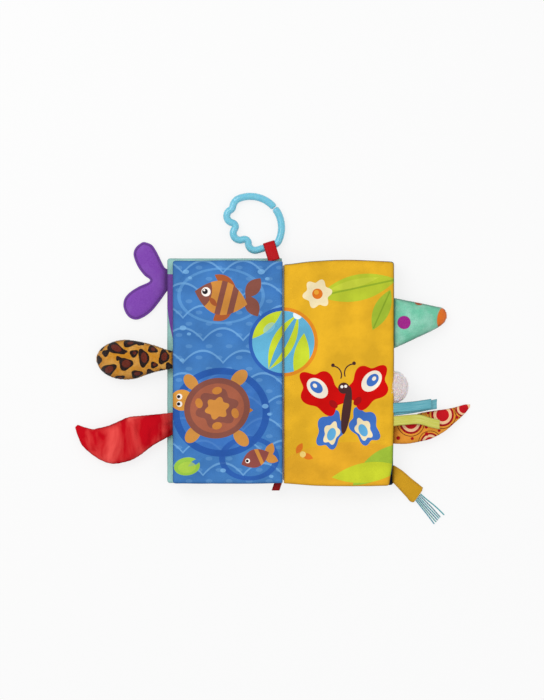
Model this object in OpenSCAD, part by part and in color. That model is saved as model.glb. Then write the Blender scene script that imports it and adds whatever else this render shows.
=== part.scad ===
// A soft cloth book, open at its middle, with tails sewn into its edges and a clip ring at its head.
// The origin is on the table, in the middle of the gutter. X runs to the right, Y to the head.

/* [Pages] */
// Width of a padded page, from the gutter to the fore-edge
page_w = 109.1; // [90:0.1:130]
// Height of a padded page
page_h = 223; // [205:0.5:260]
// Thickness of a padded page
leaf_t = 5.6; // [5:0.1:6.4]
// Padded pages on each side of the gutter
leaves = 3; // [3:1:4]
// Radius of a page's corner, seen from above
page_r = 4; // [3.8:0.1:8]
// Half of the gap between the two halves at the gutter
gutter = 1.2; // [1.2:0.05:2]
// How much lower the right half lies than the left half
right_drop = 1.2; // [0:0.1:3]

/* [Covers] */
// Thickness of a padded cover
cover_t = 5.6; // [5:0.1:6.4]
// How far the front cover stands out past the pages at the fore-edge
front_out = 5.8; // [1:0.1:8]
// How far the front cover stands out at the head
front_head = 2.5; // [0:0.1:5]
// How far the back cover stands out past the pages at the fore-edge
back_out = 1; // [0:0.1:4]
// Thickness of the spine cloth
spine_t = 0.6; // [0.4:0.05:0.6]

/* [Clip ring] */
// Radius of the ring's main arc, at the middle of the wire
ring_r = 31.4; // [30.5:0.1:33]
// Diameter of the ring's wire
wire_d = 7.1; // [6:0.1:7.2]
// Radius of the three lobes
lobe_r = 6.9; // [6.8:0.1:7.4]
// Radius of the hollows between the lobes
hollow_r = 4; // [3.8:0.1:4.6]
// Width of the snap gap, as an angle of the main arc
snap_gap = 1.6; // [1:0.1:4]
// How far the ring and its loop lean away from the book's length
ring_lean = 17; // [8:0.5:20]

/* [Ribbon loop and tag] */
// Width of the loop's ribbon
loop_w = 12; // [8:0.5:12]
// Thickness of the loop's ribbon
loop_t = 0.8; // [0.5:0.05:1.2]
// Place of the loop's root along the head, from the gutter
loop_x = 9; // [8:0.5:14]
// Distance from the book's head to the ring's wire, along the loop
loop_reach = 15.2; // [13:0.1:20]
// Width of the folded tag at the foot
tag_w = 8; // [5:0.5:12]
// Length of the folded tag
tag_len = 6.5; // [4:0.5:12]
// Thickness of the folded tag
tag_t = 1.6; // [1:0.1:2.5]

/* [Left tails] */
// Length of the whale tail
whale_len = 44; // [35:1:60]
// Span of the whale tail, from tip to tip
whale_span = 78; // [60:1:84]
// Thickness of the whale tail
whale_t = 5; // [3:0.1:5]
// Place of the whale tail along the page, from its middle
whale_y = 92.2; // [85:0.5:95]
// Length of the leopard tail
leopard_len = 76.5; // [60:0.5:90]
// Width of the leopard tail
leopard_w = 40; // [30:0.5:46]
// Thickness of the leopard tail
leopard_t = 20; // [12:0.5:21]
// Place of the leopard tail along the page
leopard_y = 12.3; // [6:0.5:20]
// Length of the red tail
red_len = 97; // [80:1:110]
// Width of the red tail
red_w = 45; // [34:0.5:48]
// Thickness of the red tail
red_t = 16; // [10:0.5:20]
// Place of the red tail along the page
red_y = -51.6; // [-58:0.5:-48]

/* [Right tails] */
// Length of the mint tail
mint_len = 53; // [40:1:65]
// Width of the mint tail at its root
mint_w = 51; // [38:0.5:54]
// Thickness of the mint tail
mint_t = 20; // [12:0.5:21]
// Place of the mint tail along the page
mint_y = 50; // [45:0.5:56]
// How far the pompom stands out of the page edge
pompom_out = 14.5; // [10:0.5:20]
// Width of the pompom
pompom_w = 33; // [24:0.5:36]
// Thickness of the pompom
pompom_t = 16; // [10:0.5:16]
// Place of the pompom along the page
pompom_y = -13.8; // [-16:0.5:-6]
// Length of the printed tail
printed_len = 77; // [60:1:90]
// Width of the printed tail
printed_w = 29; // [20:0.5:31]
// Thickness of the printed tail
printed_t = 12; // [8:0.5:12]
// Place of the printed tail along the page
printed_y = -58.8; // [-66:0.5:-58]
// How far the mustard tail reaches from the page edge
mustard_len = 25; // [20:0.5:30]
// Width of the mustard tail
mustard_w = 19; // [16:0.2:20]
// Thickness of the mustard tail
mustard_t = 4; // [3.6:0.1:5]
// Place of the mustard tail along the page
mustard_y = -101.2; // [-103:0.2:-96]
// Diameter of each cord of the tassel
tassel_d = 1.3; // [1:0.1:1.4]

/* [Ribbons] */
// Width of the satin ribbons
ribbon_w = 10; // [6:0.5:10.5]
// Thickness of the satin ribbons
ribbon_t = 0.8; // [0.5:0.05:1]
// Length of the upper blue ribbon
blue_upper_len = 37.3; // [25:0.5:50]
// Length of the lower blue ribbon
blue_lower_len = 43; // [30:0.5:55]
// Length of the lime ribbon
lime_len = 45.5; // [30:0.5:60]
// Place of the upper blue ribbon along the page
blue_upper_y = -34.6; // [-37:0.1:-33]
// Place of the lower blue ribbon along the page
blue_lower_y = -37.6; // [-39:0.1:-36]
// Place of the lime ribbon along the page
lime_y = -47.8; // [-52:0.1:-47]

/* [Hidden] */
$fn = 64;

// Room between soft pieces that lie against each other
clear = 0.3;
// Room between the table and what rests on it
lift = 0.1;
binding_w = 3;
stack_t = cover_t + clear + leaves * leaf_t;
edge_x = gutter + page_w;
page_top = page_h / 2;

// Height of the middle of a page, counted from the cover
function level(k) = cover_t + clear + (min(k, leaves - 1) + 0.5) * leaf_t;

function smooth(t) = let(s = min(max(t, 0), 1)) s * s * (3 - 2 * s);

// The point at u, from 0 to 1, on the smooth curve through the points p
function spline(p, u) =
  let(n = len(p) - 1, s = min(u * n, n - 0.0001), i = floor(s), t = s - i)
  let(a = p[max(i - 1, 0)], b = p[i], c = p[i + 1], d = p[min(i + 2, n)])
  b + 0.5 * t * (c - a + t * (2 * a - 5 * b + 4 * c - d + t * (3 * (b - c) + d - a)));

// Sections of a piece swept along a path, as parts of its half width and half height
pillow = [for (i = [0:15]) let(a = i * 22.5, c = cos(a), s = sin(a))
  [sign(c) * pow(abs(c), 0.8), sign(s) * pow(abs(s), 0.8)]];
strip = [[1, -1], [1, 1], [-1, 1], [-1, -1]];
round = [for (i = [0:7]) [cos(i * 45), sin(i * 45)]];

// The direction of a path at its point i, seen from above: square to the page edge at first,
// and along the path past the share turn_from of it
function heading(path, i, turn_from) =
  let(n = len(path) - 1, a = path[max(i - 1, 0)], b = path[min(i + 1, n)])
  let(d = [b[0] - a[0], b[1] - a[1]], w = smooth((i / n - turn_from) / 0.3))
  let(h = (1 - w) * [1, 0] + w * d / norm(d))
  h / norm(h);

// A closed piece swept along a path of [x, y, z, half width, half height]
module sweep(path, section, turn_from = 2) {
  n = len(path);
  m = len(section);
  points = [for (i = [0:n - 1], s = section)
    let(h = heading(path, i, turn_from), p = path[i])
    [p[0] - h[1] * s[0] * p[3], p[1] + h[0] * s[0] * p[3], p[2] + s[1] * p[4]]];
  sides = [for (i = [0:n - 2], k = [0:m - 1])
    [i * m + k, (i + 1) * m + k, (i + 1) * m + (k + 1) % m, i * m + (k + 1) % m]];
  root_end = [for (k = [0:m - 1]) k];
  far_end = [for (k = [m - 1:-1:0]) (n - 1) * m + k];
  polyhedron(points, concat(sides, [root_end, far_end]), convexity = 4);
}

// The path of a stuffed tail: it leaves the page edge at height z and sinks to the table.
// Each point of form is [along, aside, width, thickness], as parts of the tail's own sizes.
function tail_path(form, length, width, thick, z, sink = 0.5, steps = 24) =
  [for (i = [0:steps]) let(u = i / steps, f = spline(form, u), half = f[3] * thick / 2)
    [clear + f[0] * length, f[1] * length,
     lift + half + (z - lift - form[0][3] * thick / 2) * (1 - smooth(f[0] / sink)),
     f[2] * width / 2, half]];

leopard_form = [[0, 0, 0.44, 0.3], [0.08, 0, 0.5, 0.42], [0.2, 0.01, 0.63, 0.62], [0.34, 0.01, 0.79, 0.84],
  [0.47, 0, 0.93, 0.96], [0.6, 0, 1, 1], [0.73, 0, 0.95, 0.96], [0.85, 0, 0.78, 0.82],
  [0.94, 0.005, 0.52, 0.55], [1, 0.01, 0.14, 0.16]];
red_form = [[0, 0, 0.5, 0.28], [0.2, -0.066, 0.7, 0.6], [0.34, -0.125, 0.9, 0.84], [0.47, -0.165, 1, 1],
  [0.66, -0.215, 0.86, 1], [0.83, -0.17, 0.56, 0.8], [0.93, -0.097, 0.3, 0.5], [1, -0.026, 0.08, 0.15]];
mint_form = [[0, 0, 1, 0.4], [0.24, 0.03, 0.83, 0.8], [0.48, 0.064, 0.66, 1], [0.76, 0.102, 0.46, 0.75],
  [0.93, 0.136, 0.3, 0.5], [1, 0.142, 0.1, 0.16]];
printed_form = [[0, 0, 0.83, 0.45], [0.17, 0.012, 0.9, 0.8], [0.33, 0.056, 1, 1], [0.49, 0.091, 0.97, 1],
  [0.66, 0.147, 0.79, 0.85], [0.79, 0.213, 0.56, 0.65], [0.92, 0.29, 0.34, 0.4], [1, 0.34, 0.08, 0.12]];
mustard_form = [[0, 0, 0.98, 0.7], [0.22, -0.15, 0.84, 1], [0.5, -0.42, 0.88, 1], [0.78, -0.68, 0.96, 1],
  [0.93, -0.83, 1, 1], [1, -0.884, 0.76, 0.8]];

// Half of a soft ball that bulges out of the page edge
pompom_path = [for (i = [0:14]) let(u = i / 14, a = 5 + 80 * u, w = cos(a))
  [clear + pompom_out * (sin(a) - sin(5)) / (1 - sin(5)), 0, level(1), pompom_w / 2 * w, pompom_t / 2 * w]];

// The path of a ribbon that leaves the page edge at height z and droops to the height z_end
function ribbon_path(line, length, z, z_end, steps = 12) =
  [for (i = [0:steps]) let(u = i / steps, p = spline(line, u))
    [clear + p[0] * length, p[1] * length, z + (z_end - z) * u * u, ribbon_w / 2, ribbon_t / 2]];

blue_upper_line = [[0, 0], [0.5, 0.04], [1, 0.11]];
blue_lower_line = [[0, 0], [0.5, 0.07], [1, 0.163]];
lime_line = [[0, 0], [0.3, 0.03], [0.56, 0.04], [0.8, -0.03], [1, -0.08]];

// The whale tail's outline from the foot of its root round to the top of its root,
// as parts of its length and span
whale_form = [[0, -0.14], [0.145, -0.258], [0.355, -0.404], [0.56, -0.486], [0.73, -0.512],
  [0.89, -0.47], [0.986, -0.376], [1, -0.294], [0.955, -0.22], [0.823, -0.144], [0.64, -0.081],
  [0.393, -0.01], [0.523, 0.059], [0.655, 0.155], [0.745, 0.265], [0.77, 0.346], [0.718, 0.419],
  [0.61, 0.472], [0.523, 0.49], [0.355, 0.456], [0.25, 0.376], [0.145, 0.258], [0.066, 0.169],
  [0, 0.14]];

// The middle lines of the tassel's cords, from the origin on the table
tassel_routes = [
  [[137.6, -122.4, 1.7], [141.2, -125.6, 1.3], [145.6, -129.3, 0.9], [151.2, -133.7, 0.75],
   [156.6, -138.6, 0.75], [161.5, -143.5, 0.75]],
  [[136.7, -123.6, 1.7], [140.2, -127.1, 1.3], [144.4, -131.4, 0.9], [149.2, -136.2, 0.75],
   [153.4, -141, 0.75], [157.7, -145.8, 0.75]],
  [[135.7, -124.8, 1.7], [139, -128.5, 1.3], [143, -132.9, 0.9], [147.5, -137.6, 0.75],
   [152, -142.4, 0.75], [156.4, -147.1, 0.75]],
  [[134.8, -126.1, 1.7], [138, -129.9, 1.3], [141.9, -134.4, 0.9], [146.3, -139.3, 0.75],
   [150.6, -144, 0.75], [155, -148.9, 0.75]],
  [[133.9, -127.3, 1.7], [137, -131.2, 1.3], [140.8, -135.8, 0.9], [145, -140.8, 0.75],
   [149.1, -145.6, 0.75], [153.5, -150.6, 0.75]],
  [[133, -128.5, 1.7], [136, -132.4, 1.3], [139.6, -137, 0.9], [143.7, -142.1, 0.75],
   [147.6, -147.2, 0.75], [151.6, -152.6, 0.75]]];

wire_r = wire_d / 2;
loop_in = wire_r + 0.4;
loop_out = loop_in + loop_t;
wire_z = loop_out + lift;
collar_len = 1.6;
collar_rise = 0.2;
snap_at = 22;
corner_r = 8;
far_r = 10.4;
far_at = 93;
// The ring's own frame has the straight stretch under the loop along its X axis, and the ring's
// far side towards Y
arc_c = [-0.425 * ring_r, 0.75 * ring_r];
corner_x = arc_c[0] + sqrt(pow(ring_r - corner_r, 2) - pow(arc_c[1] - corner_r, 2));
corner_c = [corner_x, corner_r];
far_c = arc_c + (ring_r - far_r) * [cos(far_at), sin(far_at)];
lobe_far = [-0.823 * ring_r, 1.26 * ring_r];
lobe_mid = [-0.787 * ring_r, 0.674 * ring_r];
lobe_near = [-0.42 * ring_r, lobe_r];
ring_tilt = -asin((wire_z - wire_r - lift) / (arc_c[1] + ring_r));

// The centre of the circle that touches circles (a, ra) and (b, rb) from outside, on the left of a to b
function between(a, ra, b, rb) =
  let(d = b - a, l = norm(d), p = ra + hollow_r, q = rb + hollow_r)
  let(x = (l * l + p * p - q * q) / (2 * l), y = sqrt(p * p - x * x))
  a + (x * d + y * [-d[1], d[0]]) / l;

hollow_a = between(lobe_far, lobe_r, far_c, far_r);
hollow_b = between(lobe_mid, lobe_r, lobe_far, lobe_r);
hollow_c = between(lobe_near, lobe_r, lobe_mid, lobe_r);

function angle_of(v) = atan2(v[1], v[0]);

// The angle from a to b, counted against the clock
function ahead(a, b) = (b - a + 720) % 360;

module pad(w, h, t, r) {
  for (turned = [0, 1]) let(length = turned ? h : w, run = turned ? w - 2 * r : h - 2 * r)
    rotate([90, 0, turned * 90]) linear_extrude(run, center = true) {
      square([length - t, t], center = true);
      for (side = [-1, 1]) translate([side * (length - t) / 2, 0]) circle(d = t);
    }
  for (i = [-1, 1], j = [-1, 1]) translate([i * (w / 2 - r), j * (h / 2 - r), 0])
    rotate_extrude() intersection() {
      translate([0, -t / 2]) square([r, t]);
      union() {
        translate([0, -t / 2]) square([r - t / 2, t]);
        translate([r - t / 2, 0]) circle(d = t);
      }
    }
}

// The sewn pages of the right half; mirrored for the left
module leaf_stack() {
  for (k = [0:leaves - 1]) translate([gutter + page_w / 2, 0, level(k)]) pad(page_w, page_h, leaf_t, page_r);
  translate([gutter + leaf_t / 4, -page_h / 2 + page_r, level(0)])
    cube([binding_w, page_h - 2 * page_r, (leaves - 1) * leaf_t]);
}

module cover(out, head) {
  translate([gutter + (page_w + out) / 2, head / 2, cover_t / 2])
    pad(page_w + out, page_h + head, cover_t, page_r);
}

module on_left(y = 0) translate([-edge_x, y, 0]) mirror([1, 0, 0]) children();

module on_right(y = 0) translate([edge_x, y, 0]) children();

module right_half() translate([0, -right_drop, 0]) children();

module spine_half(x) {
  translate([x, -page_h / 2 + page_r, 0]) cube([spine_t, page_h - 2 * page_r, stack_t - clear]);
}

// One arc of the ring's wire about the centre c, from the angle a over the angle turn
module wire_arc(c, r, a, turn) {
  translate([c[0], c[1], 0]) rotate(a) rotate_extrude(angle = turn) translate([r, 0]) circle(r = wire_r);
}

// The wire round the centre c, from the direction from to the direction to, against the clock
module wire_between(c, r, from, to) {
  a = angle_of(from);
  wire_arc(c, r, a, ahead(a, angle_of(to)));
}

// The wire of the hollow between the arcs about before and after, which curves the other way
module wire_hollow(c, before, after) {
  a = angle_of(after - c);
  wire_arc(c, hollow_r, a, ahead(a, angle_of(before - c)));
}

// A short collar that joins the wire's stretches where they meet at p, heading along the angle a
module wire_joint(p, a) {
  translate([p[0], p[1], 0]) rotate([0, 90, a])
    cylinder(h = collar_len, r = wire_r + collar_rise, center = true);
}

// The point where the circle (c, r) touches the one about the centre other
function touch(c, r, other) = c + r * (other - c) / norm(other - c);

// Puts the ring's own frame under the loop, at the book's head
module in_ring_place() {
  translate([-loop_x - loop_reach * sin(ring_lean), page_top + loop_reach * cos(ring_lean), wire_z])
    rotate(ring_lean) children();
}

module ring_wire() {
  straight = corner_x - lobe_near[0];
  start = angle_of(corner_c - arc_c);
  snap_from = snap_at - snap_gap / 2;
  snap_to = snap_at + snap_gap / 2;
  translate([lobe_near[0], 0, 0]) rotate([0, 90, 0]) cylinder(h = straight, r = wire_r);
  wire_between(corner_c, corner_r, [0, -1], corner_c - arc_c);
  wire_arc(arc_c, ring_r, start, snap_from - start);
  wire_arc(arc_c, ring_r, snap_to, far_at - snap_to);
  wire_between(far_c, far_r, far_c - arc_c, hollow_a - far_c);
  wire_hollow(hollow_a, far_c, lobe_far);
  wire_between(lobe_far, lobe_r, hollow_a - lobe_far, hollow_b - lobe_far);
  wire_hollow(hollow_b, lobe_far, lobe_mid);
  wire_between(lobe_mid, lobe_r, hollow_b - lobe_mid, hollow_c - lobe_mid);
  wire_hollow(hollow_c, lobe_mid, lobe_near);
  wire_between(lobe_near, lobe_r, hollow_c - lobe_near, [0, -1]);
  for (pair = [[hollow_a, far_c], [hollow_a, lobe_far], [hollow_b, lobe_far], [hollow_b, lobe_mid],
               [hollow_c, lobe_mid], [hollow_c, lobe_near]])
    wire_joint(touch(pair[0], hollow_r, pair[1]), angle_of(pair[1] - pair[0]) + 90);
  for (x = [lobe_near[0], corner_x]) wire_joint([x, 0], 0);
  wire_joint(arc_c + ring_r * [cos(start), sin(start)], start + 90);
  wire_joint(arc_c + ring_r * [cos(far_at), sin(far_at)], far_at + 90);
}

// The outline of a circle of radius r, drawn out to a point at the distance reach
function teardrop(r, reach) =
  let(half = acos(r / reach), steps = 48, turn = (360 - 2 * half) / steps)
  concat([[reach, 0]], [for (i = [0:steps]) r * [cos(half + i * turn), sin(half + i * turn)]]);

module front_cover() color("#8fc4bd") mirror([1, 0, 0]) cover(front_out, front_head);

module left_leaves() color("#4a82c4") mirror([1, 0, 0]) leaf_stack();

module spine_cloth_front() color("#2f5b66") spine_half(-spine_t);

module ring_loop() color("#c20c18") {
  root_z = level(1) - wire_z;
  point = norm([loop_reach, root_z]) + 2;
  difference() {
    in_ring_place() rotate([90, 0, -90]) rotate(atan2(root_z, loop_reach))
      linear_extrude(loop_w, center = true) difference() {
        polygon(teardrop(loop_out, point));
        polygon(teardrop(loop_in, point * loop_in / loop_out));
      }
    translate([-page_w / 2, page_top + clear - page_h, 0]) cube([page_w, page_h, 2 * stack_t]);
  }
}

module foot_tag() color("#8c0716") {
  lean = 2.5;
  translate([-tag_w / 2 - gutter, -page_top - clear, level(1) - tag_t / 2]) linear_extrude(tag_t)
    polygon([[-tag_w / 2, 0], [tag_w / 2, 0], [tag_w / 2 - lean, -tag_len], [-tag_w / 2 - lean, -tag_len]]);
}

module whale_tail() color("#7f44ad") {
  steps = 3 * (len(whale_form) - 1);
  outline = [for (i = [0:steps]) let(p = spline(whale_form, i / steps))
    [p[0] * whale_len, p[1] * whale_span]];
  on_left(whale_y) translate([front_out + clear, 0, lift]) linear_extrude(whale_t) polygon(outline);
}

module leopard_tail() color("#d9982a")
  on_left(leopard_y) sweep(tail_path(leopard_form, leopard_len, leopard_w, leopard_t, level(1)), pillow);

module red_tail() color("#cf1a22")
  on_left(red_y) sweep(tail_path(red_form, red_len, red_w, red_t, level(0) + clear), pillow, 0.5);

module clip_ring() color("#76cbe3") in_ring_place() rotate([ring_tilt, 0, 0]) ring_wire();

module back_cover() color("#2f6f86") right_half() cover(back_out, 0);

module right_leaves() color("#e8b02c") right_half() leaf_stack();

module spine_cloth_back() color("#2f5b66") right_half() spine_half(clear);

module mint_tail() color("#6fcaa8")
  on_right(mint_y - right_drop) sweep(tail_path(mint_form, mint_len, mint_w, mint_t, level(1)), pillow);

module pompom_tail() color("#ece4e6") on_right(pompom_y - right_drop) sweep(pompom_path, pillow);

module blue_ribbon_upper() color("#4fa9bf")
  on_right(blue_upper_y - right_drop)
    sweep(ribbon_path(blue_upper_line, blue_upper_len, level(2) + ribbon_t, level(2) - 4), strip);

module blue_ribbon_lower() color("#4fa9bf")
  on_right(blue_lower_y - right_drop)
    sweep(ribbon_path(blue_lower_line, blue_lower_len, level(2) - ribbon_t, level(2) - 8), strip);

module lime_ribbon() color("#cfd65a")
  on_right(lime_y - right_drop) sweep(ribbon_path(lime_line, lime_len, level(2), level(2) - 5), strip);

module printed_tail() color("#dd9030")
  on_right(printed_y - right_drop)
    sweep(tail_path(printed_form, printed_len, printed_w, printed_t, level(0) + clear), pillow);

module mustard_tail() color("#cf9a1e")
  on_right(mustard_y - right_drop)
    sweep(tail_path(mustard_form, mustard_len, mustard_w, mustard_t, level(0) + clear), pillow, 0);

module tassel(k) color("#66b5bf") {
  route = tassel_routes[k];
  steps = 10;
  sweep([for (i = [0:steps]) concat(spline(route, i / steps), [tassel_d / 2, tassel_d / 2])], round, -1);
}

front_cover();
left_leaves();
spine_cloth_front();
ring_loop();
foot_tag();
whale_tail();
leopard_tail();
red_tail();
clip_ring();
back_cover();
right_leaves();
spine_cloth_back();
mint_tail();
pompom_tail();
blue_ribbon_upper();
blue_ribbon_lower();
lime_ribbon();
printed_tail();
mustard_tail();
tassel(0);  // tassel_1
tassel(1);  // tassel_2
tassel(2);  // tassel_3
tassel(3);  // tassel_4
tassel(4);  // tassel_5
tassel(5);  // tassel_6
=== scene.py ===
"""A soft cloth book, open at its middle, dressed for its looks.

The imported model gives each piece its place. Every sub-assembly of the book is a class that
builds its meshes and dresses them, and main() makes them in order, camera and cords first.
Lengths in the classes are millimetres in the row frame, and turn to metres in a mesh.
"""
from __future__ import annotations

import logging
import math
from dataclasses import dataclass
from enum import Enum
from typing import Callable, Sequence

import bmesh
import bpy
import numpy as np
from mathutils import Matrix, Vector, noise
from mathutils.geometry import delaunay_2d_cdt

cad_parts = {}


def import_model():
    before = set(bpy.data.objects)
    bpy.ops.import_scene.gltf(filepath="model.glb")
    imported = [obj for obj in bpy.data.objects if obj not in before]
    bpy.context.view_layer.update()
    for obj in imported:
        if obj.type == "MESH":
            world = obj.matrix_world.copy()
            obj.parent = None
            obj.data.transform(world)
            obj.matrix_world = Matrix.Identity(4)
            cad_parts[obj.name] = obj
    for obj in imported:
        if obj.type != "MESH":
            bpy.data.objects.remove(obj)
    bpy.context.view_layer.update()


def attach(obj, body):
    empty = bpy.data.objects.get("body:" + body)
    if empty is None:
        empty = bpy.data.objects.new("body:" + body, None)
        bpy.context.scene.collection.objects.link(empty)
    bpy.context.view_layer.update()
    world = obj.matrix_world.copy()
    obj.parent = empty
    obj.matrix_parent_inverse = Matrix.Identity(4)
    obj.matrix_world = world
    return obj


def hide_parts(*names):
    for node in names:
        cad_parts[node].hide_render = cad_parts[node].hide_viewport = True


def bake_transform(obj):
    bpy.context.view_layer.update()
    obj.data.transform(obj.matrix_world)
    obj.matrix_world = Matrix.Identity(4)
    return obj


LOG = logging.getLogger("cloth_book")
MM = 0.001
Point = Sequence[float]

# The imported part's own sizes: the pages' fore-edge, half of the gap between the covers, half of the
# pages' height, how much lower the right half lies, one leaf and one cover, the room between pieces
# that touch, each leaf's middle height, and how far soft pieces lie above the table
EDGE_X = 110.3
GUTTER = 1.2
HALF_H = 111.5
RIGHT_DROP = 1.2
LEAF_T = 5.6
COVER_T = 5.6
CLEAR = 0.3
LEVELS = tuple(COVER_T + CLEAR + LEAF_T * (leaf + 0.5) for leaf in range(3))
LIFT = 0.1


def linear(code: str) -> tuple[float, float, float, float]:
    """Turns an sRGB hex colour into the linear values that a shader takes.

    Args:
        code: the colour, such as "#4a82c4".

    Returns:
        Red, green, blue and alpha, from 0 to 1.
    """
    parts = [int(code[i:i + 2], 16) / 255 for i in (1, 3, 5)]
    return tuple(p / 12.92 if p <= 0.04045 else ((p + 0.055) / 1.055) ** 2.4 for p in parts) + (1.0,)


def smooth(t: float) -> float:
    """Eases a share between 0 and 1."""
    t = min(max(t, 0.0), 1.0)
    return t * t * (3 - 2 * t)


def spline(points: Sequence[Point], u: float) -> np.ndarray:
    """The point at a share of the smooth curve through some points.

    Args:
        points: the points that the curve passes.
        u: the share, from 0 at the first point to 1 at the last.

    Returns:
        The point, with as many numbers as each given one.
    """
    p = [np.array(q, float) for q in points]
    n = len(p) - 1
    s = min(u * n, n - 0.0001)
    i = int(s)
    t = s - i
    a, b, c, d = p[max(i - 1, 0)], p[i], p[i + 1], p[min(i + 2, n)]
    return b + 0.5 * t * (c - a + t * (2 * a - 5 * b + 4 * c - d + t * (3 * (b - c) + d - a)))


def wander(x: float, y: float, seed: float) -> float:
    """Smooth noise from -1 to 1 at a place."""
    return noise.noise(Vector((x, y, seed * 7.31)))


class Ground(Enum):
    """The repeat that a printed cloth has behind its motifs."""

    PLAIN = "plain"
    SCALLOPS = "scallops"
    DOTS = "dots"


class Form(Enum):
    """The outline of one printed mark."""

    OVAL = "oval"
    PETAL = "petal"
    BAND = "band"
    BLOOM = "bloom"
    RING = "ring"


@dataclass(frozen=True)
class Mark:
    """One printed mark: a form of a colour at a place, turned, and cut to another mark if it has one."""

    form: Form
    colour: str
    x: float
    y: float
    half_w: float
    half_h: float
    turn: float = 0.0
    strength: float = 1.0
    detail: float = 6.0
    within: "Mark | None" = None


class Shader:
    """The node tree of one material while it is made."""

    def __init__(self, name: str) -> None:
        """Starts a material with its surface shader and its place in millimetres."""
        self.material = bpy.data.materials.new(name)
        self.material.use_nodes = True
        self.tree = self.material.node_tree
        self.surface = self.tree.nodes["Principled BSDF"]
        place = self.add("ShaderNodeTexCoord").outputs["Object"]
        self.place = self.vector("MULTIPLY", place, (1000, 1000, 1000))
        self.flat = self.vector("MULTIPLY", place, (1000, 1000, 0))

    def add(self, kind: str, inputs: dict | None = None, **settings: object) -> bpy.types.Node:
        """Adds a node.

        Args:
            kind: Blender's name of the node's type.
            inputs: the values, sockets or nodes that go into its inputs.
            settings: the node's own options.

        Returns:
            The new node.
        """
        node = self.tree.nodes.new(kind)
        for key, value in settings.items():
            setattr(node, key, value)
        for key, value in (inputs or {}).items():
            if isinstance(value, bpy.types.Node):
                value = value.outputs[0]
            if isinstance(value, bpy.types.NodeSocket):
                self.tree.links.new(value, node.inputs[key])
            else:
                node.inputs[key].default_value = value
        return node

    def calc(self, operation: str, *values: object) -> bpy.types.Node:
        """Adds a node that works on numbers."""
        return self.add("ShaderNodeMath", dict(enumerate(values)), operation=operation)

    def vector(self, operation: str, *values: object) -> bpy.types.Node:
        """Adds a node that works on vectors."""
        return self.add("ShaderNodeVectorMath", dict(enumerate(values)), operation=operation)

    def length(self, vector: object) -> bpy.types.NodeSocket:
        """The length of a vector."""
        return self.vector("LENGTH", vector).outputs["Value"]

    def ramp(self, value: object, low: float, high: float, first: float, last: float) -> bpy.types.Node:
        """Maps the span from low to high onto the one from first to last, and holds it there."""
        return self.add("ShaderNodeMapRange", dict(enumerate((value, low, high, first, last))))

    def noise(self, scale: float, detail: float, place: object = None, **more: float) -> bpy.types.Node:
        """Adds noise.

        Args:
            scale: how many patches lie on a millimetre.
            detail: how many finer layers it has.
            place: where it is read, the place in millimetres unless it is given.
            more: the noise's other inputs.

        Returns:
            The new node.
        """
        return self.add("ShaderNodeTexNoise", {"Vector": place or self.place, "Scale": scale,
                                               "Detail": detail, **more})

    def feed(self, **inputs: object) -> None:
        """Sets or links inputs of the surface shader, with an underscore for each space in a name."""
        for key, value in inputs.items():
            socket = self.surface.inputs[key.replace("_", " ")]
            if isinstance(value, bpy.types.Node):
                value = value.outputs[0]
            if isinstance(value, bpy.types.NodeSocket):
                self.tree.links.new(value, socket)
            else:
                socket.default_value = value

    def tint(self, under: object, over: object, share: object, blend: str = "MIX") -> bpy.types.NodeSocket:
        """Lays one colour over another.

        Args:
            under: the colour below, a socket or linear values.
            over: the colour on top, a socket or linear values.
            share: how much of it shows, a socket or a number.
            blend: how the two mix.

        Returns:
            The socket of the mixed colour.
        """
        mixed = self.add("ShaderNodeMix", {0: share, 6: under, 7: over}, data_type="RGBA", blend_type=blend)
        return mixed.outputs[2]

    def shape(self, mark: Mark) -> bpy.types.NodeSocket:
        """The mask of a printed mark, 1 inside it and 0 outside."""
        local = self.add("ShaderNodeMapping", {
            "Vector": self.flat, "Location": (mark.x, mark.y, 0), "Rotation": (0, 0, math.radians(mark.turn)),
            "Scale": (mark.half_w, mark.half_h, 1)}, vector_type="TEXTURE")
        if mark.form in (Form.OVAL, Form.RING):
            far = self.length(local)
            if mark.form is Form.OVAL:
                mask = self.calc("LESS_THAN", far, 1.0)
            else:
                mask = self.calc("COMPARE", far, 1.0, mark.detail / 100)
        elif mark.form is Form.BLOOM:
            far = self.length(local)
            axes = self.add("ShaderNodeSeparateXYZ", {0: local})
            angle = self.calc("ARCTAN2", axes.outputs[1], axes.outputs[0])
            lobe = self.calc("COSINE", self.calc("MULTIPLY", angle, mark.detail))
            mask = self.calc("LESS_THAN", far, self.calc("MULTIPLY_ADD", lobe, 0.13, 0.87))
        else:
            x, y = self.add("ShaderNodeSeparateXYZ", {0: self.vector("ABSOLUTE", local)}).outputs[:2]
            if mark.form is Form.PETAL:
                inner = self.calc("MULTIPLY_ADD", x, x, y)
            else:
                inner = self.calc("MAXIMUM", x, y)
            mask = self.calc("LESS_THAN", inner, 1.0)
        if mark.within is not None:
            mask = self.calc("MULTIPLY", mask, self.shape(mark.within))
        return mask.outputs[0]

    def print_marks(self, colour: object, marks: Sequence[Mark]) -> object:
        """Prints marks over a colour, in order, and returns the socket of the result."""
        for mark in marks:
            share: object = self.shape(mark)
            if mark.strength < 1:
                share = self.calc("MULTIPLY", share, mark.strength)
            colour = self.tint(colour, linear(mark.colour), share)
        return colour

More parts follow.
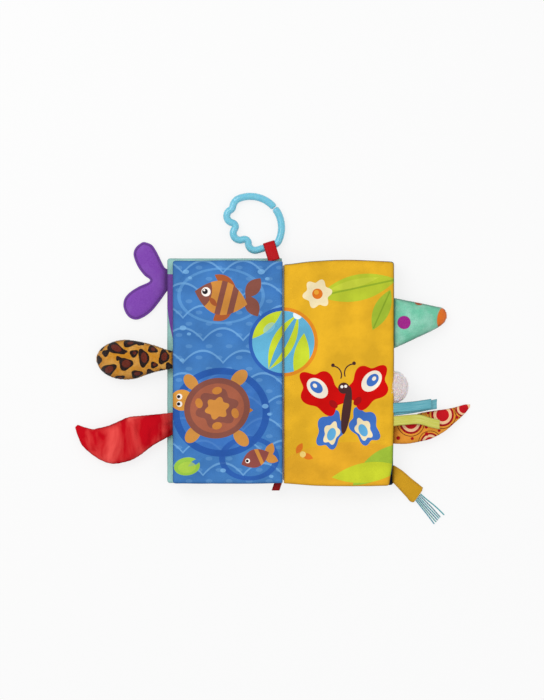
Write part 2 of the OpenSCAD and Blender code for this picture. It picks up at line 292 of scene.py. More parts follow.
    def scallops(self, colour: object, light: str, wide: float, pitch: float) -> object:
        """Prints rows of water scallops, thin light arcs whose cusps meet.

        Args:
            colour: the colour below.
            light: the arcs' colour.
            wide: the width of one arc.
            pitch: the distance between rows.

        Returns:
            The socket of the printed colour.
        """
        axes = self.add("ShaderNodeSeparateXYZ", {0: self.flat})
        for shift in (0.0, 0.5):
            across = self.calc("MULTIPLY_ADD", axes.outputs[0], 1 / wide, shift + 10)
            side = self.calc("MULTIPLY_ADD", self.calc("FRACT", across), 2.0, -1.0)
            low = self.calc("MULTIPLY_ADD", self.calc("MULTIPLY", side, side), wide * 0.3, axes.outputs[1])
            row = self.calc("FRACT", self.calc("MULTIPLY_ADD", low, 0.5 / pitch, shift + 20))
            colour = self.tint(colour, linear("#2f66ae"), self.ramp(row, 0.72, 0.96, 0.0, 0.42))
            line = self.calc("COMPARE", row, 0.975, 0.024)
            colour = self.tint(colour, linear(light), self.calc("MULTIPLY", line, 0.75))
            moved = self.vector("MULTIPLY_ADD", self.flat, (2 / wide, 1 / pitch, 0),
                                (shift + 10.2, shift + 10.35, 0))
            local = self.add("ShaderNodeMapping", {
                "Vector": self.vector("FRACTION", moved), "Location": (0.5, 0.5, 0),
                "Scale": (0.17, 0.085, 1)}, vector_type="TEXTURE")
            glint = self.calc("LESS_THAN", self.length(local), 1.0)
            colour = self.tint(colour, linear(light), self.calc("MULTIPLY", glint, 0.3))
        return colour

    def dots(self, colour: object, light: str, pitch: float, size: float) -> object:
        """Prints staggered dots of a size at a pitch."""
        for shift in (0.0, 0.5):
            moved = self.vector("MULTIPLY_ADD", self.flat, (1 / pitch,) * 3, (shift,) * 3)
            middle = self.vector("SUBTRACT", self.vector("FRACTION", moved), (0.5, 0.5, 0))
            plane = self.vector("MULTIPLY", middle, (1, 1, 0))
            colour = self.tint(colour, linear(light), self.calc("LESS_THAN", self.length(plane), size / pitch))
        return colour

    def vary(self, colour: object, amount: float, size: float) -> object:
        """Makes a colour drift lighter and darker over patches of a size in millimetres."""
        share = self.ramp(self.noise(1 / size, 3.0), 0.35, 0.65, 0.0, amount)
        return self.tint(colour, linear("#2a2530"), share, "MULTIPLY")

    def shade_seams(self, colour: object, depth: float, shade: str = "#3a3038") -> object:
        """Paints shade into a colour along the piece's seams and edges, where the cloth turns in, and where a
        piece runs in under another.
        """
        seam = self.add("ShaderNodeAttribute", attribute_name="seam").outputs["Fac"]
        # painted shade: the seam attribute darkens the colour by multiplying in the shade colour
        return self.tint(colour, linear(shade), self.calc("MULTIPLY", seam, depth), "MULTIPLY")

    def weave(self, pitch: float) -> bpy.types.NodeSocket:
        """The height of a plain weave whose threads lie a pitch apart."""
        heights = [self.add("ShaderNodeTexWave", {"Vector": self.place, "Scale": math.pi / (10 * pitch),
                                                  "Distortion": 0.6, "Detail": 1.0}, bands_direction=way)
                   for way in ("X", "Y")]
        return self.calc("MULTIPLY", heights[0].outputs["Fac"], heights[1].outputs["Fac"]).outputs[0]

    def bump(self, height: object, depth: float) -> None:
        """Raises the surface by a height field, to a depth in millimetres, over what it has already."""
        inputs: dict = {"Height": height, "Distance": depth * MM}
        if self.surface.inputs["Normal"].is_linked:
            inputs["Normal"] = self.surface.inputs["Normal"].links[0].from_socket
        self.feed(Normal=self.add("ShaderNodeBump", inputs))


@dataclass(frozen=True)
class PrintedSatin:
    """Polyester satin with a heat-transfer print: even colour, a fine weave and a soft gloss."""

    name: str
    colour: str
    ground: Ground = Ground.PLAIN
    light: str = "#6aa5dd"
    marks: tuple[Mark, ...] = ()
    weave_mm: float = 0.9
    gloss: float = 0.62

    def make(self) -> bpy.types.Material:
        """Builds the material.

        The real threads are 0.2 mm apart; they are drawn coarser, so that they show.
        """
        s = Shader(self.name)
        colour: object = linear(self.colour)
        if self.ground is Ground.SCALLOPS:
            colour = s.scallops(colour, self.light, 40.0, 22.4)
        elif self.ground is Ground.DOTS:
            colour = s.dots(colour, self.light, 17.0, 2.6)
        colour = s.print_marks(colour, self.marks)
        # painted shade along the seams
        colour = s.shade_seams(s.vary(colour, 0.2, 26.0), 0.5)
        s.feed(Base_Color=colour, Roughness=self.gloss, Specular_IOR_Level=0.07)
        s.bump(s.noise(0.11, 4.0, Roughness=0.55), 1.3)
        s.bump(s.weave(self.weave_mm), 0.045)
        return s.material


@dataclass(frozen=True)
class Plush:
    """Short polyester pile: deep matt colour that lightens at grazing angles, with combed streaks of painted
    sheen.
    """

    name: str
    colour: str
    light: str
    marks: tuple[Mark, ...] = ()
    pile_mm: float = 1.1
    sheen: float = 0.35

    def make(self) -> bpy.types.Material:
        """Builds the material, with tufts drawn at the pile's own size."""
        s = Shader(self.name)
        tufts = s.noise(1 / self.pile_mm, 4.0, Roughness=0.7)
        brushed = s.noise(0.09, 3.0)
        # painted sheen: the combed streaks lighten the colour towards the light one
        colour = s.tint(linear(self.colour), linear(self.light), s.ramp(brushed, 0.4, 0.66, 0.0, 0.62))
        colour = s.print_marks(colour, self.marks)
        # painted shade between the tufts, where the pile is deep
        colour = s.tint(colour, linear("#4a4038"), s.ramp(tufts, 0.35, 0.6, 0.26, 0.0), "MULTIPLY")
        # painted shade along the seams
        s.feed(Base_Color=s.shade_seams(colour, 0.6), Roughness=0.95, Specular_IOR_Level=0.15,
               Sheen_Weight=self.sheen, Sheen_Roughness=0.55)
        s.bump(brushed, 1.2)
        s.bump(tufts, 0.5)
        return s.material


@dataclass(frozen=True)
class SpottedPlush:
    """Plush printed with a big cat's spots: dark broken rims with a brown heart, and solid dots."""

    name: str
    colour: str
    light: str
    rim: str
    heart: str
    spots: tuple[tuple[float, float, float, float, float, float], ...]

    def make(self) -> bpy.types.Material:
        """Builds the material. Each spot is x, y, half width, half height, turn and the size of its heart."""
        marks: list[Mark] = []
        for x, y, w, h, turn, heart in self.spots:
            marks.append(Mark(Form.BLOOM, self.rim, x, y, w * 1.1, h * 1.1, turn, detail=3.0))
            if heart > 0:
                marks.append(Mark(Form.OVAL, self.heart, x + 0.6, y + 0.4, w * heart, h * heart, turn))
        return Plush(self.name, self.colour, self.light, tuple(marks), 0.9, 0.2).make()


@dataclass(frozen=True)
class Fluff:
    """Long acrylic pile: nearly white fibres with pinkish shade between them, and a faint painted glow that
    brightens them.
    """

    name: str
    colour: str
    shade: str

    def make(self) -> bpy.types.Material:
        """Builds the material, with wisps about 4 mm across."""
        s = Shader(self.name)
        share = s.ramp(s.noise(0.25, 3.0), 0.35, 0.62, 0.5, 0.0)
        # painted light: the faint pinkish emission makes the fibres glow brighter than the lamps light them
        s.feed(Base_Color=s.tint(linear(self.colour), linear(self.shade), share), Roughness=0.9,
               Specular_IOR_Level=0.1, Subsurface_Weight=0.5, Subsurface_Scale=0.004, Sheen_Weight=0.4,
               Emission_Color=linear("#ffd6d3"), Emission_Strength=0.11)
        return s.material


@dataclass(frozen=True)
class Velvet:
    """Cut velvet: a dark body colour with painted highlight streaks where the pile is brushed the other way."""

    name: str
    colour: str
    light: str

    def make(self) -> bpy.types.Material:
        """Builds the material, with brush streaks about 20 mm apart, across the pile's way."""
        s = Shader(self.name)
        long = s.add("ShaderNodeMapping", {"Vector": s.place, "Scale": (0.046, 0.02, 0.045),
                                           "Rotation": (0, 0, 0.25)})
        streaks = s.noise(1.0, 4.0, long, Distortion=0.5)
        # painted highlight: the brush streaks lighten the body colour towards the light one
        painted_sheen = s.ramp(streaks, 0.42, 0.67, 0.0, 1.0)
        # painted shade along the seams
        s.feed(Base_Color=s.shade_seams(s.tint(linear(self.colour), linear(self.light), painted_sheen), 0.7),
               Roughness=0.85, Specular_IOR_Level=0.05, Sheen_Weight=0.12, Sheen_Roughness=0.35,
               Sheen_Tint=linear("#ff5a50"))
        s.bump(streaks, 1.4)
        s.bump(s.noise(1.6, 2.0), 0.12)
        return s.material


@dataclass(frozen=True)
class Felt:
    """Brushed knitted felt: matted fibres, no gloss at all."""

    name: str
    colour: str
    light: str

    def make(self) -> bpy.types.Material:
        """Builds the material, with fibre clumps about 1.5 mm across."""
        s = Shader(self.name)
        fibres = s.noise(0.9, 6.0, Roughness=0.75, Distortion=0.6)
        body = s.tint(linear(self.colour), linear(self.light), s.ramp(fibres, 0.4, 0.66, 0.0, 0.6))
        body = s.tint(body, linear("#8d62b8"), s.ramp(s.noise(0.05, 2.0), 0.5, 0.75, 0.0, 0.35))
        # painted shade along the seams
        s.feed(Base_Color=s.shade_seams(body, 0.75, "#33204a"), Roughness=1.0, Specular_IOR_Level=0.1,
               Sheen_Weight=0.12, Sheen_Roughness=0.6)
        s.bump(fibres, 0.35)
        return s.material


@dataclass(frozen=True)
class RibbonSatin:
    """Woven satin ribbon: smooth long floats, a streaked gloss partly painted in as highlight, and a firm selvedge
    on both sides.
    """

    name: str
    colour: str
    light: str
    rib_mm: float = 1.3

    def make(self) -> bpy.types.Material:
        """Builds the material on the strip's own UV map: u along the ribbon, v across, in millimetres."""
        s = Shader(self.name)
        along = s.add("ShaderNodeUVMap", uv_map="UVMap")
        ribs = s.add("ShaderNodeTexWave", {"Vector": along, "Scale": math.pi / (10 * self.rib_mm),
                                           "Distortion": 0.5, "Detail": 1.0}, bands_direction="X")
        floats = s.add("ShaderNodeMapping", {"Vector": along, "Scale": (0.05, 1.2, 1.0)})
        streaks = s.noise(1.0, 3.0, floats)
        # painted highlight: the gloss streaks along the floats lighten the colour
        painted_sheen = s.ramp(streaks, 0.42, 0.66, 0.0, 0.5)
        # painted shade along the seams
        colour = s.shade_seams(s.tint(linear(self.colour), linear(self.light), painted_sheen), 0.55)
        s.feed(Base_Color=colour, Roughness=0.42, Specular_IOR_Level=0.12, Anisotropic=0.4)
        s.bump(ribs.outputs["Fac"], 0.05)
        s.bump(streaks, 0.15)
        return s.material


@dataclass(frozen=True)
class MouldedPlastic:
    """Injection-moulded polypropylene: clear bright colour, an even gloss and a slight waxy depth."""

    name: str
    colour: str

    def make(self) -> bpy.types.Material:
        """Builds the material, with the faint ripple that a mould's polish leaves, and lighter ripple patches
        painted in as highlight.
        """
        s = Shader(self.name)
        ripple = s.noise(0.35, 2.0)
        # painted highlight: lighter patches of the ripple tint the colour
        colour = s.tint(linear(self.colour), linear("#8ed0e2"), s.ramp(ripple, 0.4, 0.62, 0.0, 0.12))
        scuff = s.ramp(ripple, 0.45, 0.7, 0.2, 0.34)
        s.feed(Base_Color=colour, Roughness=scuff, IOR=1.49, Subsurface_Weight=0.12,
               Subsurface_Scale=0.004, Coat_Weight=0.25, Coat_Roughness=0.12)
        s.bump(ripple, 0.05)
        return s.material


@dataclass(frozen=True)
class Yarn:
    """Twisted yarn or sewing thread: plies that wind round at a small pitch, with loose fibres."""

    name: str
    colour: str
    light: str
    pitch_mm: float = 1.6

    def make(self) -> bpy.types.Material:
        """Builds the material, with slanted plies: painted light on their raised crests and painted shade in the
        grooves.
        """
        s = Shader(self.name)
        slant = s.add("ShaderNodeMapping", {"Vector": s.place, "Rotation": (0.5, 0.7, 0.2)})
        plies = s.add("ShaderNodeTexWave", {"Vector": slant, "Scale": math.pi / (10 * self.pitch_mm),
                                            "Distortion": 1.0, "Detail": 2.0})
        # painted light and shade: the colour follows the plies' height, lighter where they stand higher
        share = s.ramp(plies.outputs["Fac"], 0.2, 0.8, 0.0, 1.0)
        s.feed(Base_Color=s.tint(linear(self.colour), linear(self.light), share), Roughness=0.8,
               Specular_IOR_Level=0.25, Sheen_Weight=0.3, Sheen_Roughness=0.5)
        s.bump(plies.outputs["Fac"], 0.12)
        return s.material


class Piece:
    """Makes meshes in the row frame and hands them to the frame."""

    @staticmethod
    def mesh(name: str, points: Sequence[Point], faces: Sequence[Sequence[int]],
             seam: Sequence[float] | None = None) -> bpy.types.Object:
        """Makes a smooth-shaded object.

        Args:
            name: the piece's name.
            points: its points, in millimetres.
            faces: its faces, as places in points.
            seam: how near each point lies to a seam, from 0 to 1, where the materials paint shade.

        Returns:
            The object, at the origin, with its faces pointing outwards.
        """
        data = bpy.data.meshes.new(name)
        data.from_pydata([tuple(float(v) * MM for v in p) for p in points], [], [tuple(f) for f in faces])
        work = bmesh.new()
        work.from_mesh(data)
        bmesh.ops.recalc_face_normals(work, faces=work.faces)
        work.to_mesh(data)
        work.free()
        data.shade_smooth()
        values = data.attributes.new("seam", "FLOAT", "POINT")
        nearness = seam if seam is not None else [0.0] * len(points)
        values.data.foreach_set("value", np.array(nearness, np.float32))
        piece = bpy.data.objects.new(name, data)
        bpy.context.scene.collection.objects.link(piece)
        return piece

    @staticmethod
    def tube(rows: int, around: int) -> list[list[int]]:
        """The faces of a closed tube whose points lie in rings, one after another.

        Args:
            rows: how many rings it has.
            around: how many points each ring has.

        Returns:
            The faces of its side and its two caps.
        """
        n = around
        faces = [[k * n + m, (k + 1) * n + m, (k + 1) * n + (m + 1) % n, k * n + (m + 1) % n]
                 for k in range(rows - 1) for m in range(n)]
        return faces + [list(range(n)), list(range((rows - 1) * n, rows * n))]

    @staticmethod
    def refine(piece: bpy.types.Object, levels: int = 1) -> None:
        """Subdivides a piece's mesh smoothly and keeps the result."""
        soft = piece.modifiers.new("round", "SUBSURF")
        soft.levels = soft.render_levels = levels
        Piece.settle(piece)

    @staticmethod
    def settle(piece: bpy.types.Object) -> None:
        """Turns a piece's live modifiers into plain mesh and removes them."""
        graph = bpy.context.evaluated_depsgraph_get()
        data = bpy.data.meshes.new_from_object(piece.evaluated_get(graph), preserve_all_data_layers=True,
                                               depsgraph=graph)
        piece.modifiers.clear()
        piece.data = data
        data.shade_smooth()

    @staticmethod
    def paint(piece: bpy.types.Object, *finishes: bpy.types.Material) -> None:
        """Gives a piece its materials."""
        piece.data.materials.clear()
        for finish in finishes:
            piece.data.materials.append(finish)

    @staticmethod
    def hand_over(piece: bpy.types.Object, body: str, slot: str, *nodes: str) -> None:
        """Lets a piece ride on a body, hides the nodes that it stands for, and logs it."""
        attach(piece, body)
        if nodes:
            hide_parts(*nodes)
        LOG.info("%s rides on %s", piece.name, body)


@dataclass
class Filling:
    """Stuffing that swells a sewn cover in a short cloth simulation."""

    pressure: float = 4.0
    spare: float = 0.02
    cap: float = 1.5
    frames: int = 20

    def swell(self, piece: bpy.types.Object, held: Sequence[int]) -> None:
        """Simulates the cover and keeps its moved points.

        Args:
            piece: the sewn cover, a closed mesh.
            held: the points that a seam holds still.
        """
        count = len(piece.data.vertices)
        rest = np.empty(count * 3, np.float32)
        piece.data.vertices.foreach_get("co", rest)
        rest = rest.reshape(-1, 3)
        group = piece.vertex_groups.new(name="held")
        group.add([int(i) for i in held], 1.0, "REPLACE")
        cloth = piece.modifiers.new("filling", "CLOTH")
        settings = cloth.settings
        settings.vertex_group_mass = "held"
        settings.use_pressure = True
        settings.uniform_pressure_force = self.pressure
        settings.shrink_min = -self.spare
        settings.quality = 6
        settings.mass = 0.15
        settings.tension_stiffness = settings.compression_stiffness = 12
        settings.bending_stiffness = 0.2
        settings.effector_weights.gravity = 0
        cloth.point_cache.frame_start, cloth.point_cache.frame_end = 1, self.frames
        for frame in range(1, self.frames + 1):
            bpy.context.scene.frame_set(frame)
        graph = bpy.context.evaluated_depsgraph_get()
        moved = np.empty(count * 3, np.float32)
        piece.evaluated_get(graph).data.vertices.foreach_get("co", moved)
        step = moved.reshape(-1, 3) - rest
        far = np.linalg.norm(step, axis=1, keepdims=True)
        LOG.info("%s swelled by %.2f mm at most", piece.name, far.max() / MM)
        step *= np.minimum(1.0, self.cap * MM / np.maximum(far, 1e-9))
        piece.modifiers.remove(cloth)
        piece.vertex_groups.clear()
        piece.data.vertices.foreach_set("co", (rest + step).ravel())
        bpy.context.scene.frame_set(1)


class Needlework:
    """Stitches and pile, laid by Geometry Nodes and turned into plain meshes."""

    def __init__(self) -> None:
        """Builds both trees once."""
        self.stitching = self._stitch_tree()
        self.pile = self._pile_tree()

    @staticmethod
    def _start(name: str, inputs: Sequence[tuple[str, str, float]]) -> tuple:
        """Starts a tree with a geometry, named number inputs and a material.

        Args:
            name: the tree's name.
            inputs: name, socket type and default of each number.

        Returns:
            The tree, its input node and its output node.
        """
        tree = bpy.data.node_groups.new(name, "GeometryNodeTree")
        tree.interface.new_socket("Geometry", in_out="INPUT", socket_type="NodeSocketGeometry")
        for label, kind, value in inputs:
            tree.interface.new_socket(label, in_out="INPUT", socket_type=kind).default_value = value
        tree.interface.new_socket("Finish", in_out="INPUT", socket_type="NodeSocketMaterial")
        tree.interface.new_socket("Geometry", in_out="OUTPUT", socket_type="NodeSocketGeometry")
        return tree, tree.nodes.new("NodeGroupInput"), tree.nodes.new("NodeGroupOutput")

    @staticmethod
    def _add(tree: bpy.types.NodeTree, kind: str, inputs: dict, **settings: object) -> bpy.types.Node:
        """Adds a node to a tree, with its settings and links, and returns it."""
        node = tree.nodes.new(kind)
        for key, value in settings.items():
            setattr(node, key, value)
        for key, value in inputs.items():
            if isinstance(value, bpy.types.NodeSocket):
                tree.links.new(value, node.inputs[key])
            else:
                node.inputs[key].default_value = value
        return node

    def _finish(self, tree: bpy.types.NodeTree, given: bpy.types.Node, end: bpy.types.Node,
                points: bpy.types.NodeSocket, shape: bpy.types.NodeSocket, turn: bpy.types.NodeSocket,
                size: bpy.types.NodeSocket) -> None:
        """Puts a shape on each point, makes the copies real and gives them their material."""
        copies = self._add(tree, "GeometryNodeInstanceOnPoints", {
            "Points": points, "Instance": shape, "Rotation": turn, "Scale": size})
        real = self._add(tree, "GeometryNodeRealizeInstances", {0: copies.outputs[0]})
        soft = self._add(tree, "GeometryNodeSetShadeSmooth", {0: real.outputs[0]})
        done = self._add(tree, "GeometryNodeSetMaterial", {
            "Geometry": soft.outputs[0], "Material": given.outputs["Finish"]})
        tree.links.new(done.outputs[0], end.inputs[0])

    def _stitch_tree(self) -> bpy.types.NodeTree:
        """The tree that lays stitches along the edges of a path."""
        tree, given, end = self._start("stitches", (
            ("Pitch", "NodeSocketFloat", 0.003), ("Length", "NodeSocketFloat", 0.002),
            ("Thread", "NodeSocketFloat", 0.0003)))
        line = self._add(tree, "GeometryNodeMeshToCurve", {0: given.outputs["Geometry"]})
        spaced = self._add(tree, "GeometryNodeResampleCurve", {
            "Curve": line.outputs[0], "Length": given.outputs["Pitch"]}, mode="LENGTH")
        tangent = self._add(tree, "GeometryNodeInputTangent", {})
        turn = self._add(tree, "FunctionNodeAlignRotationToVector", {"Vector": tangent.outputs[0]}, axis="Z")
        bead = self._add(tree, "GeometryNodeMeshUVSphere", {"Segments": 8, "Rings": 6, "Radius": 1.0})
        half = self._add(tree, "ShaderNodeMath", {0: given.outputs["Length"], 1: 0.5}, operation="MULTIPLY")
        size = self._add(tree, "ShaderNodeCombineXYZ", {
            0: given.outputs["Thread"], 1: given.outputs["Thread"], 2: half.outputs[0]})
        self._finish(tree, given, end, spaced.outputs[0], bead.outputs[0], turn.outputs[0], size.outputs[0])
        return tree

    def _pile_tree(self) -> bpy.types.NodeTree:
        """The tree that plants short tapering tufts all over a surface."""
        tree, given, end = self._start("pile", (
            ("Density", "NodeSocketFloat", 1e6), ("Length", "NodeSocketFloat", 0.0015),
            ("Thickness", "NodeSocketFloat", 0.0002), ("Disorder", "NodeSocketFloat", 0.5)))
        spots = self._add(tree, "GeometryNodeDistributePointsOnFaces", {
            "Mesh": given.outputs["Geometry"], "Density": given.outputs["Density"], "Seed": 11})
        stray = self._add(tree, "FunctionNodeRandomValue", {0: (-1, -1, -1), 1: (1, 1, 1), "Seed": 5},
                          data_type="FLOAT_VECTOR")
        swing = self._add(tree, "ShaderNodeVectorMath", {
            0: stray.outputs[0], "Scale": given.outputs["Disorder"]}, operation="SCALE")
        way = self._add(tree, "ShaderNodeVectorMath", {0: spots.outputs["Normal"], 1: swing.outputs[0]},
                        operation="ADD")
        turn = self._add(tree, "FunctionNodeAlignRotationToVector", {"Vector": way.outputs[0]}, axis="Z")
        tuft = self._add(tree, "GeometryNodeMeshCone", {
            "Vertices": 3, "Side Segments": 1, "Radius Top": 0.0, "Radius Bottom": 1.0, "Depth": 1.0})
        grown = self._add(tree, "FunctionNodeRandomValue", {2: 0.55, 3: 1.0, "Seed": 9}, data_type="FLOAT")
        long = self._add(tree, "ShaderNodeMath", {0: given.outputs["Length"], 1: grown.outputs[1]},
                         operation="MULTIPLY")
        size = self._add(tree, "ShaderNodeCombineXYZ", {
            0: given.outputs["Thickness"], 1: given.outputs["Thickness"], 2: long.outputs[0]})
        self._finish(tree, given, end, spots.outputs["Points"], tuft.outputs[0], turn.outputs[0],
                     size.outputs[0])
        return tree

    @staticmethod
    def _run(piece: bpy.types.Object, tree: bpy.types.NodeTree, values: dict) -> None:
        """Runs a tree on a piece with named inputs, and keeps the result as its mesh."""
        maker = piece.modifiers.new(tree.name, "NODES")
        maker.node_group = tree
        for item in tree.interface.items_tree:
            if item.in_out == "INPUT" and item.name in values:
                maker[item.identifier] = values[item.name]
        Piece.settle(piece)

    def sew(self, name: str, lines: Sequence[Sequence[Point]], thread: bpy.types.Material, pitch: float = 3.0,
            length: float = 2.0, thick: float = 0.3) -> bpy.types.Object:
        """Sews rows of stitches.

        Args:
            name: the piece's name.
            lines: each row's points, in millimetres.
            thread: the thread's material.
            pitch: the distance from stitch to stitch, in millimetres.
            length: the length of a stitch.
            thick: half the thickness of the thread.

        Returns:
            The stitches as one plain mesh.
        """
        points: list[Point] = []
        edges: list[tuple[int, int]] = []
        for line in lines:
            start = len(points)
            points.extend(line)
            edges.extend((start + i, start + i + 1) for i in range(len(line) - 1))
        data = bpy.data.meshes.new(name)
        data.from_pydata([tuple(float(v) * MM for v in p) for p in points], edges, [])
        piece = bpy.data.objects.new(name, data)
        bpy.context.scene.collection.objects.link(piece)
        self._run(piece, self.stitching, {"Pitch": pitch * MM, "Length": length * MM, "Thread": thick * MM,
                                          "Finish": thread})
        return piece

    def plant(self, name: str, base: bpy.types.Object, fibre: bpy.types.Material, per_mm2: float,
              length: float, thick: float, disorder: float) -> bpy.types.Object:
        """Plants pile on a copy of a piece and returns the tufts as one plain mesh.

        Args:
            name: the pile's name.
            base: the piece that it grows on.
            fibre: the tufts' material.
            per_mm2: tufts for each square millimetre.
            length: the longest tuft, in millimetres.
            thick: half a tuft's thickness at its foot.
            disorder: how far tufts stray from upright, from 0 to 1.

        Returns:
            The tufts.
        """
        piece = bpy.data.objects.new(name, base.data.copy())
        bpy.context.scene.collection.objects.link(piece)
        self._run(piece, self.pile, {"Density": per_mm2 * 1e6, "Length": length * MM, "Thickness": thick * MM,
                                     "Disorder": disorder, "Finish": fibre})
        return piece


@dataclass
class Studio:
    """The camera straight above, the soft lamps and the pale floor."""

    centre: tuple[float, float] = (-11.25, 22.0)
    view_height: float = 700.0
    distance: float = 3000.0
    plane: float = 12.0

    def build(self) -> None:
        """Makes the camera, the lights and the floor."""
        scene = bpy.context.scene
        scene.view_settings.view_transform = "Standard"
        lens = bpy.data.cameras.new("camera")
        lens.sensor_fit = "VERTICAL"
        lens.sensor_height = 24.0
        lens.lens = 24.0 * self.distance / self.view_height
        lens.clip_end = 20.0
        camera = bpy.data.objects.new("camera", lens)
        camera.location = (self.centre[0] * MM, self.centre[1] * MM, (self.plane + self.distance) * MM)
        scene.collection.objects.link(camera)
        scene.camera = camera
        self._light()
        self._floor()

    @staticmethod
    def _light() -> None:
        """Lays an even white sky over the object, with two broad lamps for soft shape."""
        world = bpy.data.worlds.new("studio")
        world.use_nodes = True
        nodes, links = world.node_tree.nodes, world.node_tree.links
        sky = nodes["Background"]
        sky.inputs["Color"].default_value = linear("#ffffff")
        sky.inputs["Strength"].default_value = 0.78
        shown = nodes.new("ShaderNodeBackground")
        shown.inputs["Color"].default_value = linear("#fafafa")
        ray = nodes.new("ShaderNodeLightPath")
        pick = nodes.new("ShaderNodeMixShader")
        links.new(ray.outputs["Is Camera Ray"], pick.inputs[0])
        links.new(sky.outputs[0], pick.inputs[1])
        links.new(shown.outputs[0], pick.inputs[2])
        links.new(pick.outputs[0], nodes["World Output"].inputs["Surface"])
        bpy.context.scene.world = world
        lamps = (("key", (-0.9, 0.8, 1.5), 14.0, 1.2), ("fill", (1.1, -0.5, 1.6), 5.0, 1.4))
        for name, place, power, size in lamps:
            lamp = bpy.data.lights.new(name, "AREA")
            lamp.energy, lamp.size = power, size
            stand = bpy.data.objects.new(name, lamp)
            stand.location = place
            stand.rotation_euler = (-Vector(place)).to_track_quat("-Z", "Y").to_euler()
            bpy.context.scene.collection.objects.link(stand)

    @staticmethod
    def _floor() -> None:
        """Lays a pale floor that keeps a faint shadow and is near white for the camera."""
        s = Shader("floor")
        s.feed(Base_Color=linear("#f4f4f4"), Roughness=0.9, Specular_IOR_Level=0.1)
        ray = s.add("ShaderNodeLightPath")
        glow = s.add("ShaderNodeEmission", {"Color": linear("#fafafa"), "Strength": 1.0})
        straight = s.calc("MAXIMUM", ray.outputs["Is Camera Ray"], ray.outputs["Is Glossy Ray"])
        share = s.calc("MULTIPLY", straight, 0.82)
        blend = s.add("ShaderNodeMixShader", {0: share, 1: s.surface, 2: glow})
        s.tree.links.new(blend.outputs[0], s.tree.nodes["Material Output"].inputs["Surface"])
        size = 4000.0
        floor = Piece.mesh("floor", [(-size, -size, 0), (size, -size, 0), (size, size, 0), (-size, size, 0)],
                           [(0, 1, 2, 3)])
        Piece.paint(floor, s.material)


@dataclass
class Tassel:
    """Six thin cords at the end of the mustard tail, spread like a fan on the table."""

    diameter: float = 1.3
    samples: int = 22
    routes: tuple = (
        ((137.6, -122.4, 1.7), (141.2, -125.6, 1.3), (145.6, -129.3, 0.9), (151.2, -133.7, 0.75),
         (156.6, -138.6, 0.75), (161.5, -143.5, 0.75)),
        ((136.7, -123.6, 1.7), (140.2, -127.1, 1.3), (144.4, -131.4, 0.9), (149.2, -136.2, 0.75),
         (153.4, -141, 0.75), (157.7, -145.8, 0.75)),
        ((135.7, -124.8, 1.7), (139, -128.5, 1.3), (143, -132.9, 0.9), (147.5, -137.6, 0.75),
         (152, -142.4, 0.75), (156.4, -147.1, 0.75)),
        ((134.8, -126.1, 1.7), (138, -129.9, 1.3), (141.9, -134.4, 0.9), (146.3, -139.3, 0.75),
         (150.6, -144, 0.75), (155, -148.9, 0.75)),
        ((133.9, -127.3, 1.7), (137, -131.2, 1.3), (140.8, -135.8, 0.9), (145, -140.8, 0.75),
         (149.1, -145.6, 0.75), (153.5, -150.6, 0.75)),
        ((133, -128.5, 1.7), (136, -132.4, 1.3), (139.6, -137, 0.9), (143.7, -142.1, 0.75),
         (147.6, -147.2, 0.75), (151.6, -152.6, 0.75)))

    def build(self) -> None:
        colours = (("#2f8a94", "#66b0b5"), ("#4a7a87", "#7ea8b2"), ("#358f99", "#6fb4ba"),
                   ("#2f7686", "#629cad"), ("#42918e", "#78b6b1"), ("#3b8092", "#6ca5b6"))
        for number, route in enumerate(self.routes, 1):
            line = [spline(route, i / self.samples) for i in range(self.samples + 1)]
            curve = bpy.data.curves.new(f"tassel_cord_{number}", "CURVE")
            curve.dimensions = "3D"
            path = curve.splines.new("POLY")
            path.points.add(len(line) - 1)
            for point, place in zip(path.points, line):
                point.co = (*(place * MM), 1.0)
            curve.bevel_depth = self.diameter / 2 * MM
            curve.bevel_resolution = 3
            curve.use_fill_caps = True
            cord = bpy.data.objects.new(curve.name, curve)
            bpy.context.scene.collection.objects.link(cord)
            curve.materials.append(Yarn(f"twisted_cord_{number}", *colours[number - 1], 1.4).make())
            Piece.hand_over(cord, "back_half", "blue_cord", f"tassel_{number}")
            length = sum(float(np.linalg.norm(b - a)) for a, b in zip(line, line[1:]))


